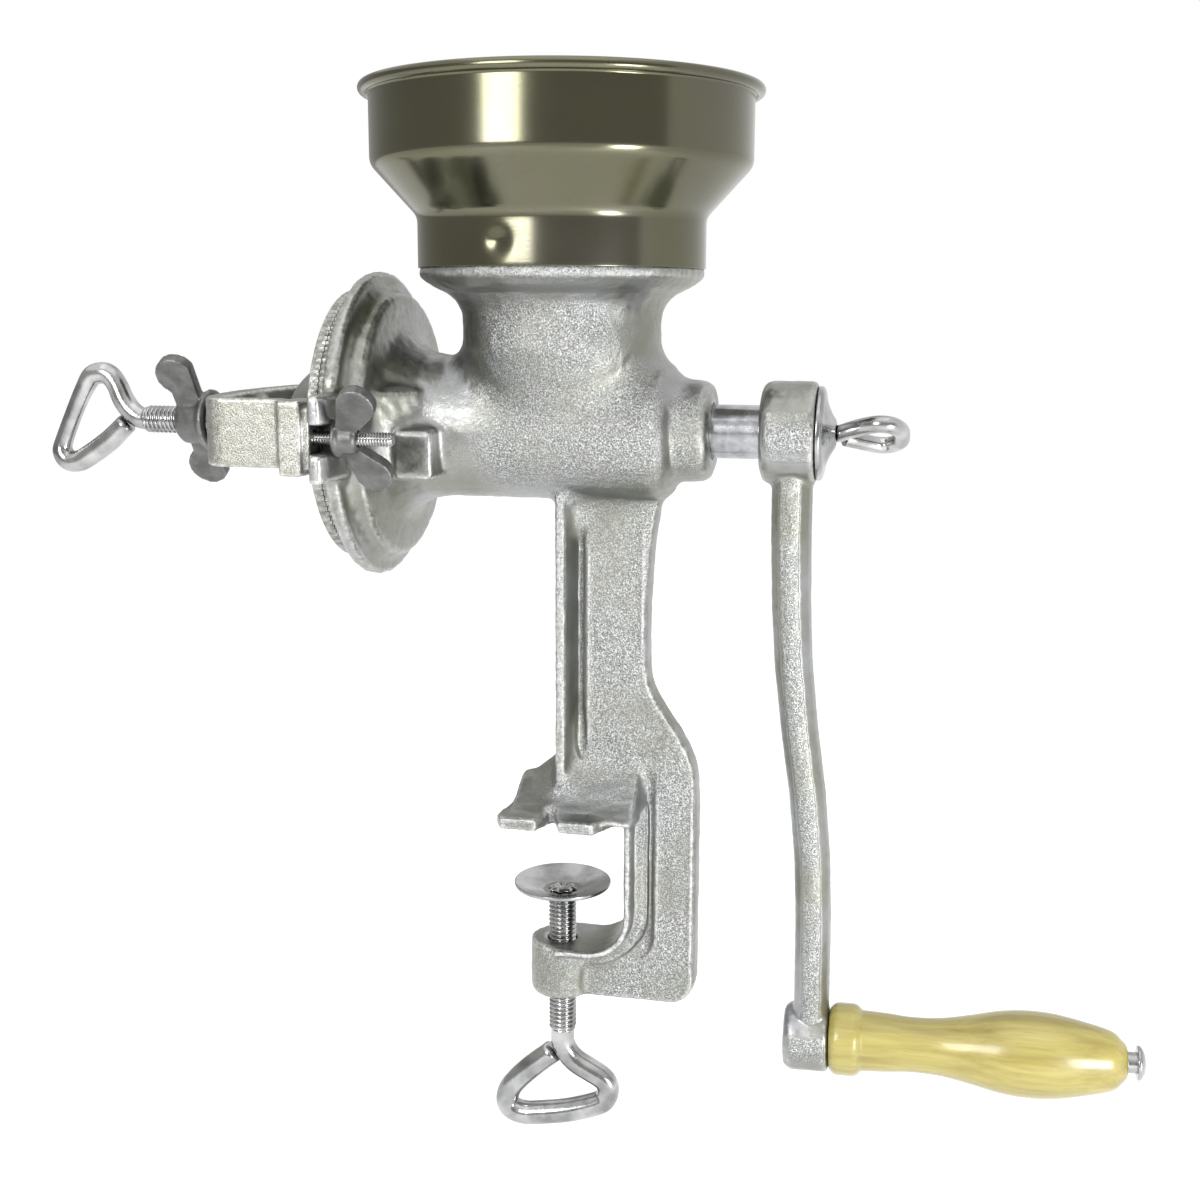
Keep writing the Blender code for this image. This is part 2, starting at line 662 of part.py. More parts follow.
def mill_body(finish, barrel_axis):
    """The one-piece casting: neck, barrel, plate disc, ears, leg and clamp frame."""
    body = add_object("mill_body", turned(barrel_profile(), 'X', ROUND_LARGE), finish, parent=barrel_axis)
    wedge = [(NECK_R * 0.5, NECK_WAIST_TOP), (NECK_R * 0.98, NECK_WAIST_BOTTOM),
             (BEARING_START_X - BEARING_ROUND / 3, BEARING_R), (BEARING_START_X, 0), (NECK_R * 0.5, 0)]
    lower_boss = [(ARM_BOTTOM_Z, 0), (ARM_BOTTOM_Z, BOSS_R * 0.9), (ARM_BOTTOM_Z + RIB_THICK / 3, BOSS_R),
                  (ARM_TOP_Z, BOSS_R), (ARM_TOP_Z, 0)]
    rib = [(RIB_X, -RIB_HALF), (RIB_X + RIB_THICK * 0.8, -RIB_HALF), (RIB_X + RIB_THICK * 1.4, 0),
           (RIB_X + RIB_THICK * 0.8, RIB_HALF), (RIB_X, RIB_HALF)]
    added = [
        add_tool("add_neck", lofted(neck_rings()), parent=barrel_axis),
        add_tool("add_spigot", turned(spigot_profile(), 'Z', ROUND_LARGE), parent=barrel_axis),
        add_tool("add_wedge", prism(wedge, -NECK_WALL * 1.6, NECK_WALL * 1.6, 'Y'), parent=barrel_axis),
        add_tool("add_lug", lofted(lug_rings()), parent=barrel_axis),
        add_tool("add_web", prism(web_outline(), -WEB_HALF, WEB_HALF, 'Y')),
        add_tool("add_panel", prism(panel_outline(), -PANEL_HALF, PANEL_HALF, 'Y')),
        add_tool("add_rib", prism(rib, JAW_THICK / 2, BARREL_AXIS_Z, 'Z')),
        add_tool("add_flange", prism(flange_outline(FLANGE_THICK), -RIB_HALF, RIB_HALF, 'Y')),
        add_tool("add_flange_root", prism(flange_outline(RIB_ROOT), -RIB_HALF / 2, RIB_HALF / 2, 'Y')),
        add_tool("add_boss", turned(lower_boss, 'Z', ROUND_MEDIUM)),
        add_tool("add_jaw", prism(jaw_outline(), 0, JAW_THICK, 'Z')),
        add_tool("add_ridge", lofted(ridge_rings())),
    ]
    for side, word in ((-1, "front"), (1, "rear")):
        ear = prism(ear_outline(side), -EAR_HALF_HEIGHT, EAR_HALF_HEIGHT, 'Z')
        added.append(add_tool("add_ear_" + word, ear, parent=barrel_axis))
    combine(body, added, 'UNION')

    screw_hole = [(ARM_BOTTOM_Z - OVERRUN, 0), (ARM_BOTTOM_Z - OVERRUN, CLAMP_SCREW_R + GAP),
                  (ARM_TOP_Z + OVERRUN, CLAMP_SCREW_R + GAP), (ARM_TOP_Z + OVERRUN, 0)]
    cuts = [
        add_tool("cut_throat", turned(throat_profile(), 'Z', ROUND_LARGE), parent=barrel_axis),
        add_tool("cut_chamber", turned(chamber_profile(), 'X', ROUND_LARGE), parent=barrel_axis),
        add_tool("cut_screw_hole", turned(screw_hole, 'Z', ROUND_SMALL)),
    ]
    for side, word in ((-1, "front"), (1, "rear")):
        slot = prism(slot_outline(side), EAR_FACE_X - OVERRUN, EAR_FACE_X + EAR_THICK + OVERRUN, 'X')
        cuts.append(add_tool("cut_slot_" + word, slot, parent=barrel_axis))
        notch = prism(notch_outline(side), -OVERRUN, JAW_RIDGE_Z, 'Z')
        cuts.append(add_tool("cut_notch_" + word, notch))
    for word, place in plate_pin_places():
        hole = [(DISC_FACE_X - OVERRUN, 0), (DISC_FACE_X - OVERRUN, PIN_R + GAP),
                (DISC_FACE_X + PIN_IN_SEAT + GAP, PIN_R + GAP), (DISC_FACE_X + PIN_IN_SEAT + GAP, 0)]
        cuts.append(add_tool("cut_pin_hole_" + word, turned(hole, 'X', ROUND_SMALL),
                             location=place, parent=barrel_axis))
    combine(body, cuts, 'DIFFERENCE')
    return body


def plate_pin_places():
    """The stationary plate's two locating pins, above and below the axis."""
    return [("upper", (0, 0, PLATE_PIN_RING_R)), ("lower", (0, 0, -PLATE_PIN_RING_R))]


def drive_pin_places():
    return [("upper", (0, 0, DRIVE_PIN_RING_R)), ("lower", (0, 0, -DRIVE_PIN_RING_R))]


def hopper(finish, barrel_axis):
    """Spun sheet bowl with a rolled rim, over the casting's spigot."""
    foot = RING_TOP + HOPPER_SEAT
    slope = Vector((HOPPER_BOWL_BOTTOM - HOPPER_COLLAR_TOP, HOPPER_BOWL_R - HOPPER_COLLAR_R)).normalized()
    outer = [
        (foot, HOPPER_COLLAR_R),
        (HOPPER_COLLAR_TOP - HOPPER_BEND, HOPPER_COLLAR_R),
        (HOPPER_COLLAR_TOP + HOPPER_BEND * slope[0], HOPPER_COLLAR_R + HOPPER_BEND * slope[1]),
        (HOPPER_BOWL_BOTTOM - HOPPER_BEND * slope[0], HOPPER_BOWL_R - HOPPER_BEND * slope[1]),
        (HOPPER_BOWL_BOTTOM + HOPPER_BEND, HOPPER_BOWL_R),
        (HOPPER_RIM_Z - HOPPER_BEAD_R * 2, HOPPER_BOWL_R),
    ]
    rim = HOPPER_BOWL_R + HOPPER_RIM_OVERHANG
    bead = [(z, radius) for radius, z in arc((rim, HOPPER_RIM_Z), HOPPER_BEAD_R, -135, 135, 6)]
    inner = [
        (HOPPER_RIM_Z, HOPPER_BOWL_R - SHEET),
        (HOPPER_BOWL_BOTTOM, HOPPER_BOWL_R - SHEET),
        (HOPPER_COLLAR_TOP, HOPPER_COLLAR_R - SHEET),
        (foot, HOPPER_COLLAR_R - SHEET),
    ]
    return add_object("hopper", turned(outer + bead + inner, 'Z', ROUND_LARGE), finish, parent=barrel_axis)


def toothed_plate(name, face_x, facing, finish, barrel_axis):
    """Ring with radial saw teeth on the side that faces +1 or -1 along X."""
    shape = bmesh.new()
    back = face_x - facing * PLATE_THICK
    floor = face_x - facing * PLATE_TOOTH_DEPTH
    rows = []
    for radius, x_values in ((PLATE_BORE_R, (back,)), (PLATE_BORE_R, (face_x, floor)),
                             (PLATE_R, (face_x, floor)), (PLATE_R, (back,))):
        row = []
        for i in range(PLATE_TEETH * 2):
            angle = 2 * math.pi * (i + 0.6 * (i % 2)) / (PLATE_TEETH * 2)
            x = x_values[i % len(x_values)]
            row.append(shape.verts.new((x, radius * math.cos(angle), radius * math.sin(angle))))
        rows.append(row)
    count = PLATE_TEETH * 2
    for lower, upper in zip(rows, rows[1:] + rows[:1]):
        for i in range(count):
            j = (i + 1) % count
            shape.faces.new((lower[i], lower[j], upper[j], upper[i]))
    bmesh.ops.recalc_face_normals(shape, faces=shape.faces)
    return add_object(name, shape, finish, parent=barrel_axis)


def plate_positions():
    """X of both plates' backs and faces, stacked on the disc with the shared gap."""
    still_back = DISC_FACE_X - GAP
    still_face = still_back - PLATE_THICK
    turning_face = still_face - GAP
    turning_back = turning_face - PLATE_THICK
    return still_back, still_face, turning_face, turning_back


def pin(name, back_x, direction, place, finish, barrel_axis):
    """Dowel that stands in its seat and reaches into the back of a plate."""
    start = back_x - direction * PIN_IN_SEAT
    end = back_x + direction * (PIN_IN_PLATE + GAP)
    low, high = min(start, end), max(start, end)
    profile = [(low, 0), (low, PIN_R), (high, PIN_R), (high, 0)]
    return add_object(name, turned(profile, 'X', ROUND_SMALL), finish, place, parent=barrel_axis)


def drill_plate(plate, back_x, direction, places, barrel_axis):
    cuts = []
    for word, place in places:
        start = back_x - direction * OVERRUN
        end = back_x + direction * (PIN_IN_PLATE + GAP * 2)
        low, high = min(start, end), max(start, end)
        hole = [(low, 0), (low, PIN_R + GAP), (high, PIN_R + GAP), (high, 0)]
        cuts.append(add_tool("cut_" + plate.name + "_" + word, turned(hole, 'X', ROUND_SMALL),
                             location=place, parent=barrel_axis))
    combine(plate, cuts, 'DIFFERENCE')


def grinding_plates(finish, pin_finish, barrel_axis):
    still_back, still_face, turning_face, turning_back = plate_positions()
    still = toothed_plate("stationary_plate", still_face, -1, finish, barrel_axis)
    drill_plate(still, still_back, -1, plate_pin_places(), barrel_axis)
    turning = toothed_plate("rotating_plate", turning_face, 1, finish, barrel_axis)
    drill_plate(turning, turning_back, 1, drive_pin_places(), barrel_axis)
    for word, place in plate_pin_places():
        pin("plate_pin_" + word, still_back, -1, place, pin_finish, barrel_axis)
    for word, place in drive_pin_places():
        pin("drive_pin_" + word, turning_back, 1, place, pin_finish, barrel_axis)


def auger_profile():
    _, _, turning_face, turning_back = plate_positions()
    head_back = turning_back - GAP
    depth = head_back - HEAD_NOSE_X
    rise = HEAD_R - HEAD_NOSE_R
    socket = CRANK_SCREW_R + GAP
    return [
        (HEAD_NOSE_X + BALL_POCKET_DEPTH, 0),
        (HEAD_NOSE_X + BALL_POCKET_DEPTH, BALL_R + GAP),
        (HEAD_NOSE_X, BALL_R + GAP),
        (HEAD_NOSE_X, HEAD_NOSE_R),
        (HEAD_NOSE_X + depth * 0.08, HEAD_NOSE_R + rise * 0.18),
        (HEAD_NOSE_X + depth * 0.26, HEAD_NOSE_R + rise * 0.46),
        (HEAD_NOSE_X + depth * 0.52, HEAD_NOSE_R + rise * 0.70),
        (HEAD_NOSE_X + depth * 0.80, HEAD_NOSE_R + rise * 0.92),
        (HEAD_NOSE_X + depth * 0.90, HEAD_R),
        (head_back, HEAD_R),
        (head_back, PLATE_BORE_R - GAP * 2),
        (turning_face, PLATE_BORE_R - GAP * 2),
        (turning_face + PLATE_THICK, CORE_R * 1.2),
        (turning_face + PLATE_THICK * 2, CORE_R),
        (FLIGHT_END_X, CORE_R),
        (CHAMBER_END_X - GAP, SHAFT_R),
        (SHAFT_END_X, SHAFT_R),
        (SHAFT_END_X, socket),
        (SHAFT_END_X - SCREW_SOCKET_DEPTH, socket),
        (SHAFT_END_X - SCREW_SOCKET_DEPTH, 0),
    ]


def flight_rings():
    """Left-handed worm, so that turning the crank clockwise drives the grain to the plates."""
    length = FLIGHT_END_X - FLIGHT_START_X
    turns = length / FLIGHT_PITCH
    count = round(turns * FLIGHT_STEPS)
    ramp = FLIGHT_STEPS / 3
    root = CORE_R * 0.8
    rings = []
    for i in range(count + 1):
        x = FLIGHT_START_X + length * i / count
        angle = -2 * math.pi * (x - FLIGHT_START_X) / FLIGHT_PITCH
        rise = min(1, (i + 1) / ramp, (count - i + 1) / ramp)
        tip = root + (FLIGHT_R - root) * rise
        corners = [(-FLIGHT_ROOT / 2, root), (-FLIGHT_TIP / 2, tip), (FLIGHT_TIP / 2, tip),
                   (FLIGHT_ROOT / 2, root)]
        rings.append([(x + dx, r * math.cos(angle), r * math.sin(angle)) for dx, r in corners])
    return rings


def auger(finish, barrel_axis):
    """Shaft, worm and plate-driving head, cast in one."""
    made = add_object("auger", turned(auger_profile(), 'X', ROUND_MEDIUM), finish, parent=barrel_axis)
    flight = add_tool("add_flight", lofted(flight_rings()), parent=barrel_axis)
    combine(made, [flight], 'UNION')
    head_back = plate_positions()[3] - GAP
    cuts = []
    for word, place in drive_pin_places():
        hole = [(head_back - PIN_IN_SEAT, 0), (head_back - PIN_IN_SEAT, PIN_R + GAP),
                (head_back + OVERRUN / 4, PIN_R + GAP), (head_back + OVERRUN / 4, 0)]
        cuts.append(add_tool("cut_head_" + word, turned(hole, 'X', ROUND_SMALL),
                             location=place, parent=barrel_axis))
    combine(made, cuts, 'DIFFERENCE')
    return made


def thrust_ball(finish, barrel_axis):
    shape = bmesh.new()
    bmesh.ops.create_uvsphere(shape, u_segments=ROUND_SMALL, v_segments=ROUND_SMALL // 2, radius=BALL_R)
    return add_object("thrust_ball", shape, finish, (ball_x(), 0, 0), parent=barrel_axis)


def ball_x():
    return HEAD_NOSE_X + BALL_POCKET_DEPTH - GAP - BALL_R


def bridge_outline():
    """Plan of the yoke, outer edge and then inner edge, mirrored across the barrel's axis."""
    foot_back = BRIDGE_FOOT_X - BRIDGE_FOOT_THICK
    straight = foot_back - BRIDGE_FLARE
    root = STUD_Y + BRIDGE_BEYOND_STUD - BRIDGE_ARM_Y
    depth = (straight - BRIDGE_CROWN_X) * 0.42
    start = BRIDGE_CROWN_X + depth
    inset = BRIDGE_ARM_Y - BRIDGE_WALL
    outer = [
        (foot_back + OVERRUN / 2, BRIDGE_ARM_Y + root * 0.72),
        (foot_back - BRIDGE_FLARE * 0.30, BRIDGE_ARM_Y + root * 0.52),
        (foot_back - BRIDGE_FLARE * 0.62, BRIDGE_ARM_Y + root * 0.20),
        (straight, BRIDGE_ARM_Y),
    ]
    outer += [(start - depth * a, BRIDGE_ARM_Y * b) for a, b in BRIDGE_CORNER_SHARES]
    inner = [(start - (depth - BRIDGE_WALL) * a, inset * b) for a, b in BRIDGE_CORNER_SHARES[::-1]]
    inner += [
        (straight, inset),
        (foot_back - BRIDGE_FLARE * 0.55, inset + BRIDGE_WALL * 0.45),
        (foot_back - BRIDGE_FLARE * 0.20, BRIDGE_FOOT_INNER + OVERRUN / 4),
        (foot_back + OVERRUN / 2, BRIDGE_FOOT_INNER + OVERRUN / 4),
    ]
    mirror_outer = [(x, -y) for x, y in outer[::-1]]
    mirror_inner = [(x, -y) for x, y in inner[::-1]]
    return outer + mirror_outer + mirror_inner + inner


def bridge(finish, barrel_axis):
    """Cast arch that carries the adjusting screw in front of the plates."""
    arch = prism(bridge_outline(), -BRIDGE_ARM_HALF, BRIDGE_ARM_HALF, 'Z')
    made = add_object("bridge", arch, finish, parent=barrel_axis)
    hub = [(BRIDGE_HUB_OUTER_X, 0), (BRIDGE_HUB_OUTER_X, BRIDGE_HUB_R), (BRIDGE_HUB_INNER_X, BRIDGE_HUB_R),
           (BRIDGE_HUB_INNER_X, 0)]
    added = [add_tool("add_bridge_hub", turned(hub, 'X', ROUND_MEDIUM), parent=barrel_axis)]
    bore = ADJUST_SCREW_R + GAP
    thread = [(BRIDGE_HUB_OUTER_X - OVERRUN, 0), (BRIDGE_HUB_OUTER_X - OVERRUN, bore),
              (BRIDGE_HUB_INNER_X + OVERRUN, bore), (BRIDGE_HUB_INNER_X + OVERRUN, 0)]
    cuts = [add_tool("cut_bridge_thread", turned(thread, 'X', ROUND_MEDIUM), parent=barrel_axis)]
    seat = EAR_FACE_X - GAP
    foot_back = BRIDGE_FOOT_X - BRIDGE_FOOT_THICK
    end = STUD_Y + BRIDGE_BEYOND_STUD
    foot_half = (end - BRIDGE_FOOT_INNER) / 2
    for side, word in ((-1, "front"), (1, "rear")):
        centre = (end - foot_half) * side
        foot = [(centre - foot_half, -BRIDGE_FOOT_HALF), (centre + foot_half, -BRIDGE_FOOT_HALF),
                (centre + foot_half, BRIDGE_FOOT_HALF), (centre - foot_half, BRIDGE_FOOT_HALF)]
        near, far = (DISC_R + GAP * 2) * side, (end - foot_half * 0.2) * side
        step = [(near, -BRIDGE_STEP_HALF), (far, -BRIDGE_STEP_HALF),
                (far, BRIDGE_STEP_HALF), (near, BRIDGE_STEP_HALF)]
        added.append(add_tool("add_foot_" + word, prism(foot, foot_back, BRIDGE_FOOT_X, 'X'),
                              parent=barrel_axis))
        added.append(add_tool("add_step_" + word, prism(step, foot_back / 2 + BRIDGE_FOOT_X / 2, seat, 'X'),
                              parent=barrel_axis))
        hole = [(foot_back, 0), (foot_back, STUD_R + GAP), (seat + OVERRUN, STUD_R + GAP),
                (seat + OVERRUN, 0)]
        cuts.append(add_tool("cut_stud_" + word, turned(hole, 'X', ROUND_SMALL),
                             location=(0, STUD_Y * side, 0), parent=barrel_axis))
    combine(made, added, 'UNION')
    combine(made, cuts, 'DIFFERENCE')
    return made


def loop_screw(name, ends, across, sizes, shares, finish, parent):
    """Screw with a straight shank from tip to neck, bent into a loop past the neck."""
    tip, neck = ends
    screw_r, wire, length, half = sizes
    along = (neck - tip).normalized()
    rows = [(*(neck + along * (length - wire) * a + across * (half - wire) * b), wire * c)
            for a, b, c in shares]
    curve = between([Vector(row) for row in rows], 2)
    chamfer = screw_r * 0.25
    path = [tip, tip + along * chamfer, neck - along * chamfer] + [point.xyz for point in curve]
    radii = [screw_r - chamfer, screw_r, screw_r] + [point.w for point in curve]
    return add_object(name, swept(path, radii, WIRE_SIDES), finish, parent=parent)


def adjusting_screw(finish, barrel_axis):
    tip = Vector((ball_x() - BALL_R - GAP, 0, 0))
    neck = Vector((ADJUST_SCREW_NECK_X, 0, 0))
    sizes = (ADJUST_SCREW_R, ADJUST_WIRE_R, ADJUST_LOOP_LENGTH, ADJUST_LOOP_HALF)
    return loop_screw("adjusting_screw", (tip, neck), Vector((0, 0, 1)), sizes, ADJUST_LOOP_SHARES,
                      finish, barrel_axis)


def crank_screw(finish, barrel_axis):
    """Enters the shaft's end through the dished washer; its loop lies almost level."""
    tip = Vector((SHAFT_END_X - SCREW_SOCKET_DEPTH + GAP, 0, 0))
    neck = Vector((washer_top_x() + GAP, 0, 0))
    across = Vector((0, math.sin(CRANK_SCREW_TURN), math.cos(CRANK_SCREW_TURN)))
    sizes = (CRANK_SCREW_R, CRANK_WIRE_R, CRANK_LOOP_LENGTH, CRANK_LOOP_HALF)
    return loop_screw("crank_screw", (tip, neck), across, sizes, CRANK_LOOP_SHARES, finish, barrel_axis)


def wing_nut(name, base_x, direction, turn, place, sizes, finish, barrel_axis):
    """Round hub with a wider base and two rounded wings that lean away from the seat."""
    hub_r, base_r, hub_length, bore, wing_r, radial, axial, thick = sizes
    far = base_x + direction * hub_length
    rise = direction * hub_length
    hub = [(base_x, bore), (base_x, base_r), (base_x + rise * 0.14, base_r), (base_x + rise * 0.26, hub_r),
           (base_x + rise * 0.85, hub_r * 0.92), (far, hub_r * 0.74), (far, bore)]
    made = add_object(name, turned(hub, 'X', ROUND_MEDIUM), finish, place, (turn, 0, 0), barrel_axis)
    wings = []
    for side, word in ((-1, "low"), (1, "high")):
        paddle = arc((axial, radial), wing_r, -60, 150, 9)
        outline = [(hub_length * 0.94, hub_r * 0.62)] + paddle + [(hub_length * 0.16, hub_r * 0.90)]
        flat = [(base_x + direction * a, side * r) for a, r in outline]
        wings.append(add_tool("add_" + name + "_" + word, prism(flat, -thick / 2, thick / 2, 'Y'),
                              location=place, rotation=(turn, 0, 0), parent=barrel_axis))
    combine(made, wings, 'UNION')
    return made


def stud(name, side, finish, barrel_axis):
    start = BRIDGE_FOOT_X - BRIDGE_FOOT_THICK + GAP
    chamfer = STUD_R * 0.25
    profile = [(start, 0), (start, STUD_R), (STUD_TAIL_X - chamfer, STUD_R),
               (STUD_TAIL_X, STUD_R - chamfer), (STUD_TAIL_X, 0)]
    return add_object(name, turned(profile, 'X', ROUND_SMALL), finish, (0, STUD_Y * side, 0),
                      parent=barrel_axis)


def studs_and_nuts(stud_finish, nut_finish, barrel_axis):
    small = (NUT_HUB_R, NUT_BASE_R, NUT_HUB_LENGTH, STUD_R + GAP, NUT_WING_R, NUT_WING_RADIAL,
             NUT_WING_AXIAL, NUT_WING_THICK)
    large = (LOCK_HUB_R, LOCK_BASE_R, LOCK_HUB_LENGTH, ADJUST_SCREW_R + GAP, LOCK_WING_R,
             LOCK_WING_RADIAL, LOCK_WING_AXIAL, LOCK_WING_THICK)
    seat = EAR_FACE_X + EAR_THICK + GAP
    for side, word, turn in ((-1, "front", NUT_TURN), (1, "rear", -NUT_TURN / 2)):
        stud(word + "_stud", side, stud_finish, barrel_axis)
        wing_nut(word + "_wing_nut", seat, 1, turn, (0, STUD_Y * side, 0), small, nut_finish, barrel_axis)
    wing_nut("lock_wing_nut", BRIDGE_HUB_OUTER_X - GAP, -1, NUT_TURN, (0, 0, 0), large, nut_finish,
             barrel_axis)


def clamp_screw(finish):
    tip = Vector((0, 0, pad_floor_z() - PAD_SHEET - GAP))
    neck = Vector((0, 0, CLAMP_SCREW_NECK_Z))
    sizes = (CLAMP_SCREW_R, CLAMP_WIRE_R, CLAMP_LOOP_LENGTH, CLAMP_LOOP_HALF)
    made = loop_screw("clamp_screw", (tip, neck), Vector((1, 0, 0)), sizes, CLAMP_LOOP_SHARES, finish, None)
    top = pad_floor_z() + GAP + STAKE_HEIGHT
    stem = [(top, 0), (top, STAKE_R * 0.7), (top - STAKE_HEIGHT, STAKE_R), (pad_floor_z() + GAP, PAD_STEM_R),
            (tip.z - CLAMP_SCREW_R, PAD_STEM_R), (tip.z - CLAMP_SCREW_R, 0)]
    combine(made, [add_tool("add_staked_stem", turned(stem, 'Z', ROUND_SMALL))], 'UNION')
    return made


def pad_floor_z():
    return PAD_TOP_Z - PAD_DISH


def swivel_pad(finish):
    """Dished disc that turns on the screw's staked end."""
    floor = pad_floor_z()
    flat = PAD_R * 0.42
    profile = [
        (floor, PAD_HOLE_R), (floor, flat), (PAD_TOP_Z - PAD_DISH * 0.35, PAD_R * 0.8),
        (PAD_TOP_Z, PAD_R), (PAD_TOP_Z - PAD_SHEET * 0.8, PAD_R),
        (PAD_TOP_Z - PAD_DISH * 0.35 - PAD_SHEET, PAD_R * 0.8),
        (floor - PAD_SHEET, flat), (floor - PAD_SHEET, PAD_HOLE_R),
    ]
    return add_object("swivel_pad", turned(profile, 'Z', ROUND_MEDIUM), finish)


def handle_axis_z():
    return -CRANK_RADIUS


def crank_rings():
    """Sections of the arm from the hub to the handle's boss: ovals with a ridge at both edges."""
    top = -HUB_R * 0.3
    bottom = handle_axis_z() + ARM_BOSS_R * 0.4
    rings = []
    for down, sway, taper in ARM_BEND_SHARES:
        x = ARM_CENTRE_X + ARM_SWAY * sway
        z = top + (bottom - top) * down
        a = ARM_HALF_THICK + (ARM_TIP_HALF_THICK - ARM_HALF_THICK) * taper
        b = ARM_HALF_WIDTH + (ARM_TIP_HALF_WIDTH - ARM_HALF_WIDTH) * taper
        quarter = [(a, 0), (a * 0.94, b * 0.55), (a * 0.55, b * 0.9), (0, b)]
        half = quarter + [(-u, v) for u, v in quarter[-2::-1]]
        section = half + [(u, -v) for u, v in half[-2:0:-1]]
        rings.append([(x + u, v, z) for u, v in section])
    return rings


def crank_arm(finish, barrel_axis, grip_axis):
    """Hub on the shaft, bent arm and the boss that holds the grip's bolt."""
    end = HUB_START_X + HUB_LENGTH
    hub = [(HUB_START_X, 0), (HUB_START_X, HUB_R - HUB_ROUND),
           (HUB_START_X + HUB_ROUND * 0.3, HUB_R - HUB_ROUND * 0.3), (HUB_START_X + HUB_ROUND, HUB_R),
           (end - HUB_ROUND * 0.3, HUB_R), (end, HUB_R - HUB_ROUND * 0.3), (end, 0)]
    made = add_object("crank_arm", turned(hub, 'X', ROUND_MEDIUM), finish, parent=barrel_axis)
    boss = [(-ARM_BOSS_LENGTH, 0), (-ARM_BOSS_LENGTH, ARM_BOSS_R * 0.85),
            (HUB_ROUND * 0.7 - ARM_BOSS_LENGTH, ARM_BOSS_R), (-HUB_ROUND * 0.3, ARM_BOSS_R),
            (0, ARM_BOSS_R * 0.9), (0, 0)]
    added = [
        add_tool("add_crank_bar", lofted(crank_rings()), parent=barrel_axis),
        add_tool("add_crank_boss", turned(boss, 'X', ROUND_SMALL), parent=grip_axis),
    ]
    combine(made, added, 'UNION')
    bore = SHAFT_R + GAP
    shaft_hole = [(HUB_START_X - OVERRUN, 0), (HUB_START_X - OVERRUN, bore), (end + OVERRUN, bore),
                  (end + OVERRUN, 0)]
    bolt_hole = [(-ARM_BOSS_LENGTH - OVERRUN, 0), (-ARM_BOSS_LENGTH - OVERRUN, GRIP_BOLT_R + GAP),
                 (OVERRUN, GRIP_BOLT_R + GAP), (OVERRUN, 0)]
    cuts = [
        add_tool("cut_crank_shaft", turned(shaft_hole, 'X', ROUND_MEDIUM), parent=barrel_axis),
        add_tool("cut_crank_bolt", turned(bolt_hole, 'X', ROUND_SMALL), parent=grip_axis),
    ]
    combine(made, cuts, 'DIFFERENCE')
    return made


def washer_base_x():
    return HUB_START_X + HUB_LENGTH + GAP


def washer_top_x():
    return washer_base_x() + WASHER_RISE + WASHER_SHEET


def crank_washer(finish, barrel_axis):
    """Dished washer between the crank screw and the hub."""
    base = washer_base_x()
    hole = CRANK_SCREW_R + GAP
    top = washer_top_x()
    outer = [(base + WASHER_SHEET + WASHER_RISE * a, WASHER_R * b) for a, b in WASHER_SHARES]
    inner = [(base + WASHER_RISE * a, WASHER_R * b * 0.92) for a, b in reversed(WASHER_SHARES)]
    profile = [(base, WASHER_R), (base + WASHER_SHEET, WASHER_R)] + outer
    profile += [(top, CRANK_SCREW_R * 1.25), (top, hole), (top - WASHER_SHEET, hole)]
    profile += inner + [(base, WASHER_R * 0.88)]
    return add_object("crank_washer", turned(profile, 'X', ROUND_MEDIUM), finish, parent=barrel_axis)


def handle_axis(barrel_axis):
    """Empty on the grip's axis, where it leaves the crank's boss."""
    empty = add_axis("handle_axis", (ARM_BOSS_X + ARM_BOSS_LENGTH, 0, handle_axis_z()))
    empty.rotation_euler = (0, -GRIP_TILT, 0)
    empty.parent = barrel_axis
    return empty


def grip(finish, axis):
    """Turned wooden grip: a ring at the crank end, then a waist and a belly."""
    bore = GRIP_BOLT_R + GRIP_BORE_CLEARANCE
    start = GAP
    rounding = GRIP_END_R * 0.15
    ring_end = start + GRIP_RING_LENGTH
    profile = [
        (start, bore), (start, GRIP_END_R - rounding), (start + rounding, GRIP_END_R),
        (ring_end - rounding, GRIP_END_R), (ring_end, GRIP_END_R - rounding),
    ]
    for share, swell in GRIP_BODY_SHARES:
        radius = GRIP_WAIST_R + (GRIP_BELLY_R - GRIP_WAIST_R) * swell
        profile.append((start + GRIP_LENGTH * share, radius))
    end = start + GRIP_LENGTH
    profile += [(end - rounding, GRIP_TAIL_R), (end, GRIP_TAIL_R - rounding), (end, bore)]
    return add_object("grip", turned(profile, 'X', ROUND_MEDIUM), finish, parent=axis)


def grip_bolt(finish, axis):
    """Bolt through the grip, riveted in the crank's boss."""
    neck = GAP + GRIP_LENGTH + GRIP_END_PLAY + GRIP_BOLT_R * 0.6
    head_end = neck + GRIP_BOLT_HEAD_THICK
    profile = [
        (-ARM_BOSS_LENGTH, 0), (-ARM_BOSS_LENGTH, GRIP_BOLT_R), (neck, GRIP_BOLT_R),
        (neck, GRIP_BOLT_HEAD_R), (neck + GRIP_BOLT_HEAD_THICK * 0.4, GRIP_BOLT_HEAD_R),
        (neck + GRIP_BOLT_HEAD_THICK * 0.85, GRIP_BOLT_HEAD_R * 0.6), (head_end, 0),
    ]
    return add_object("grip_bolt", turned(profile, 'X', ROUND_SMALL), finish, parent=axis)


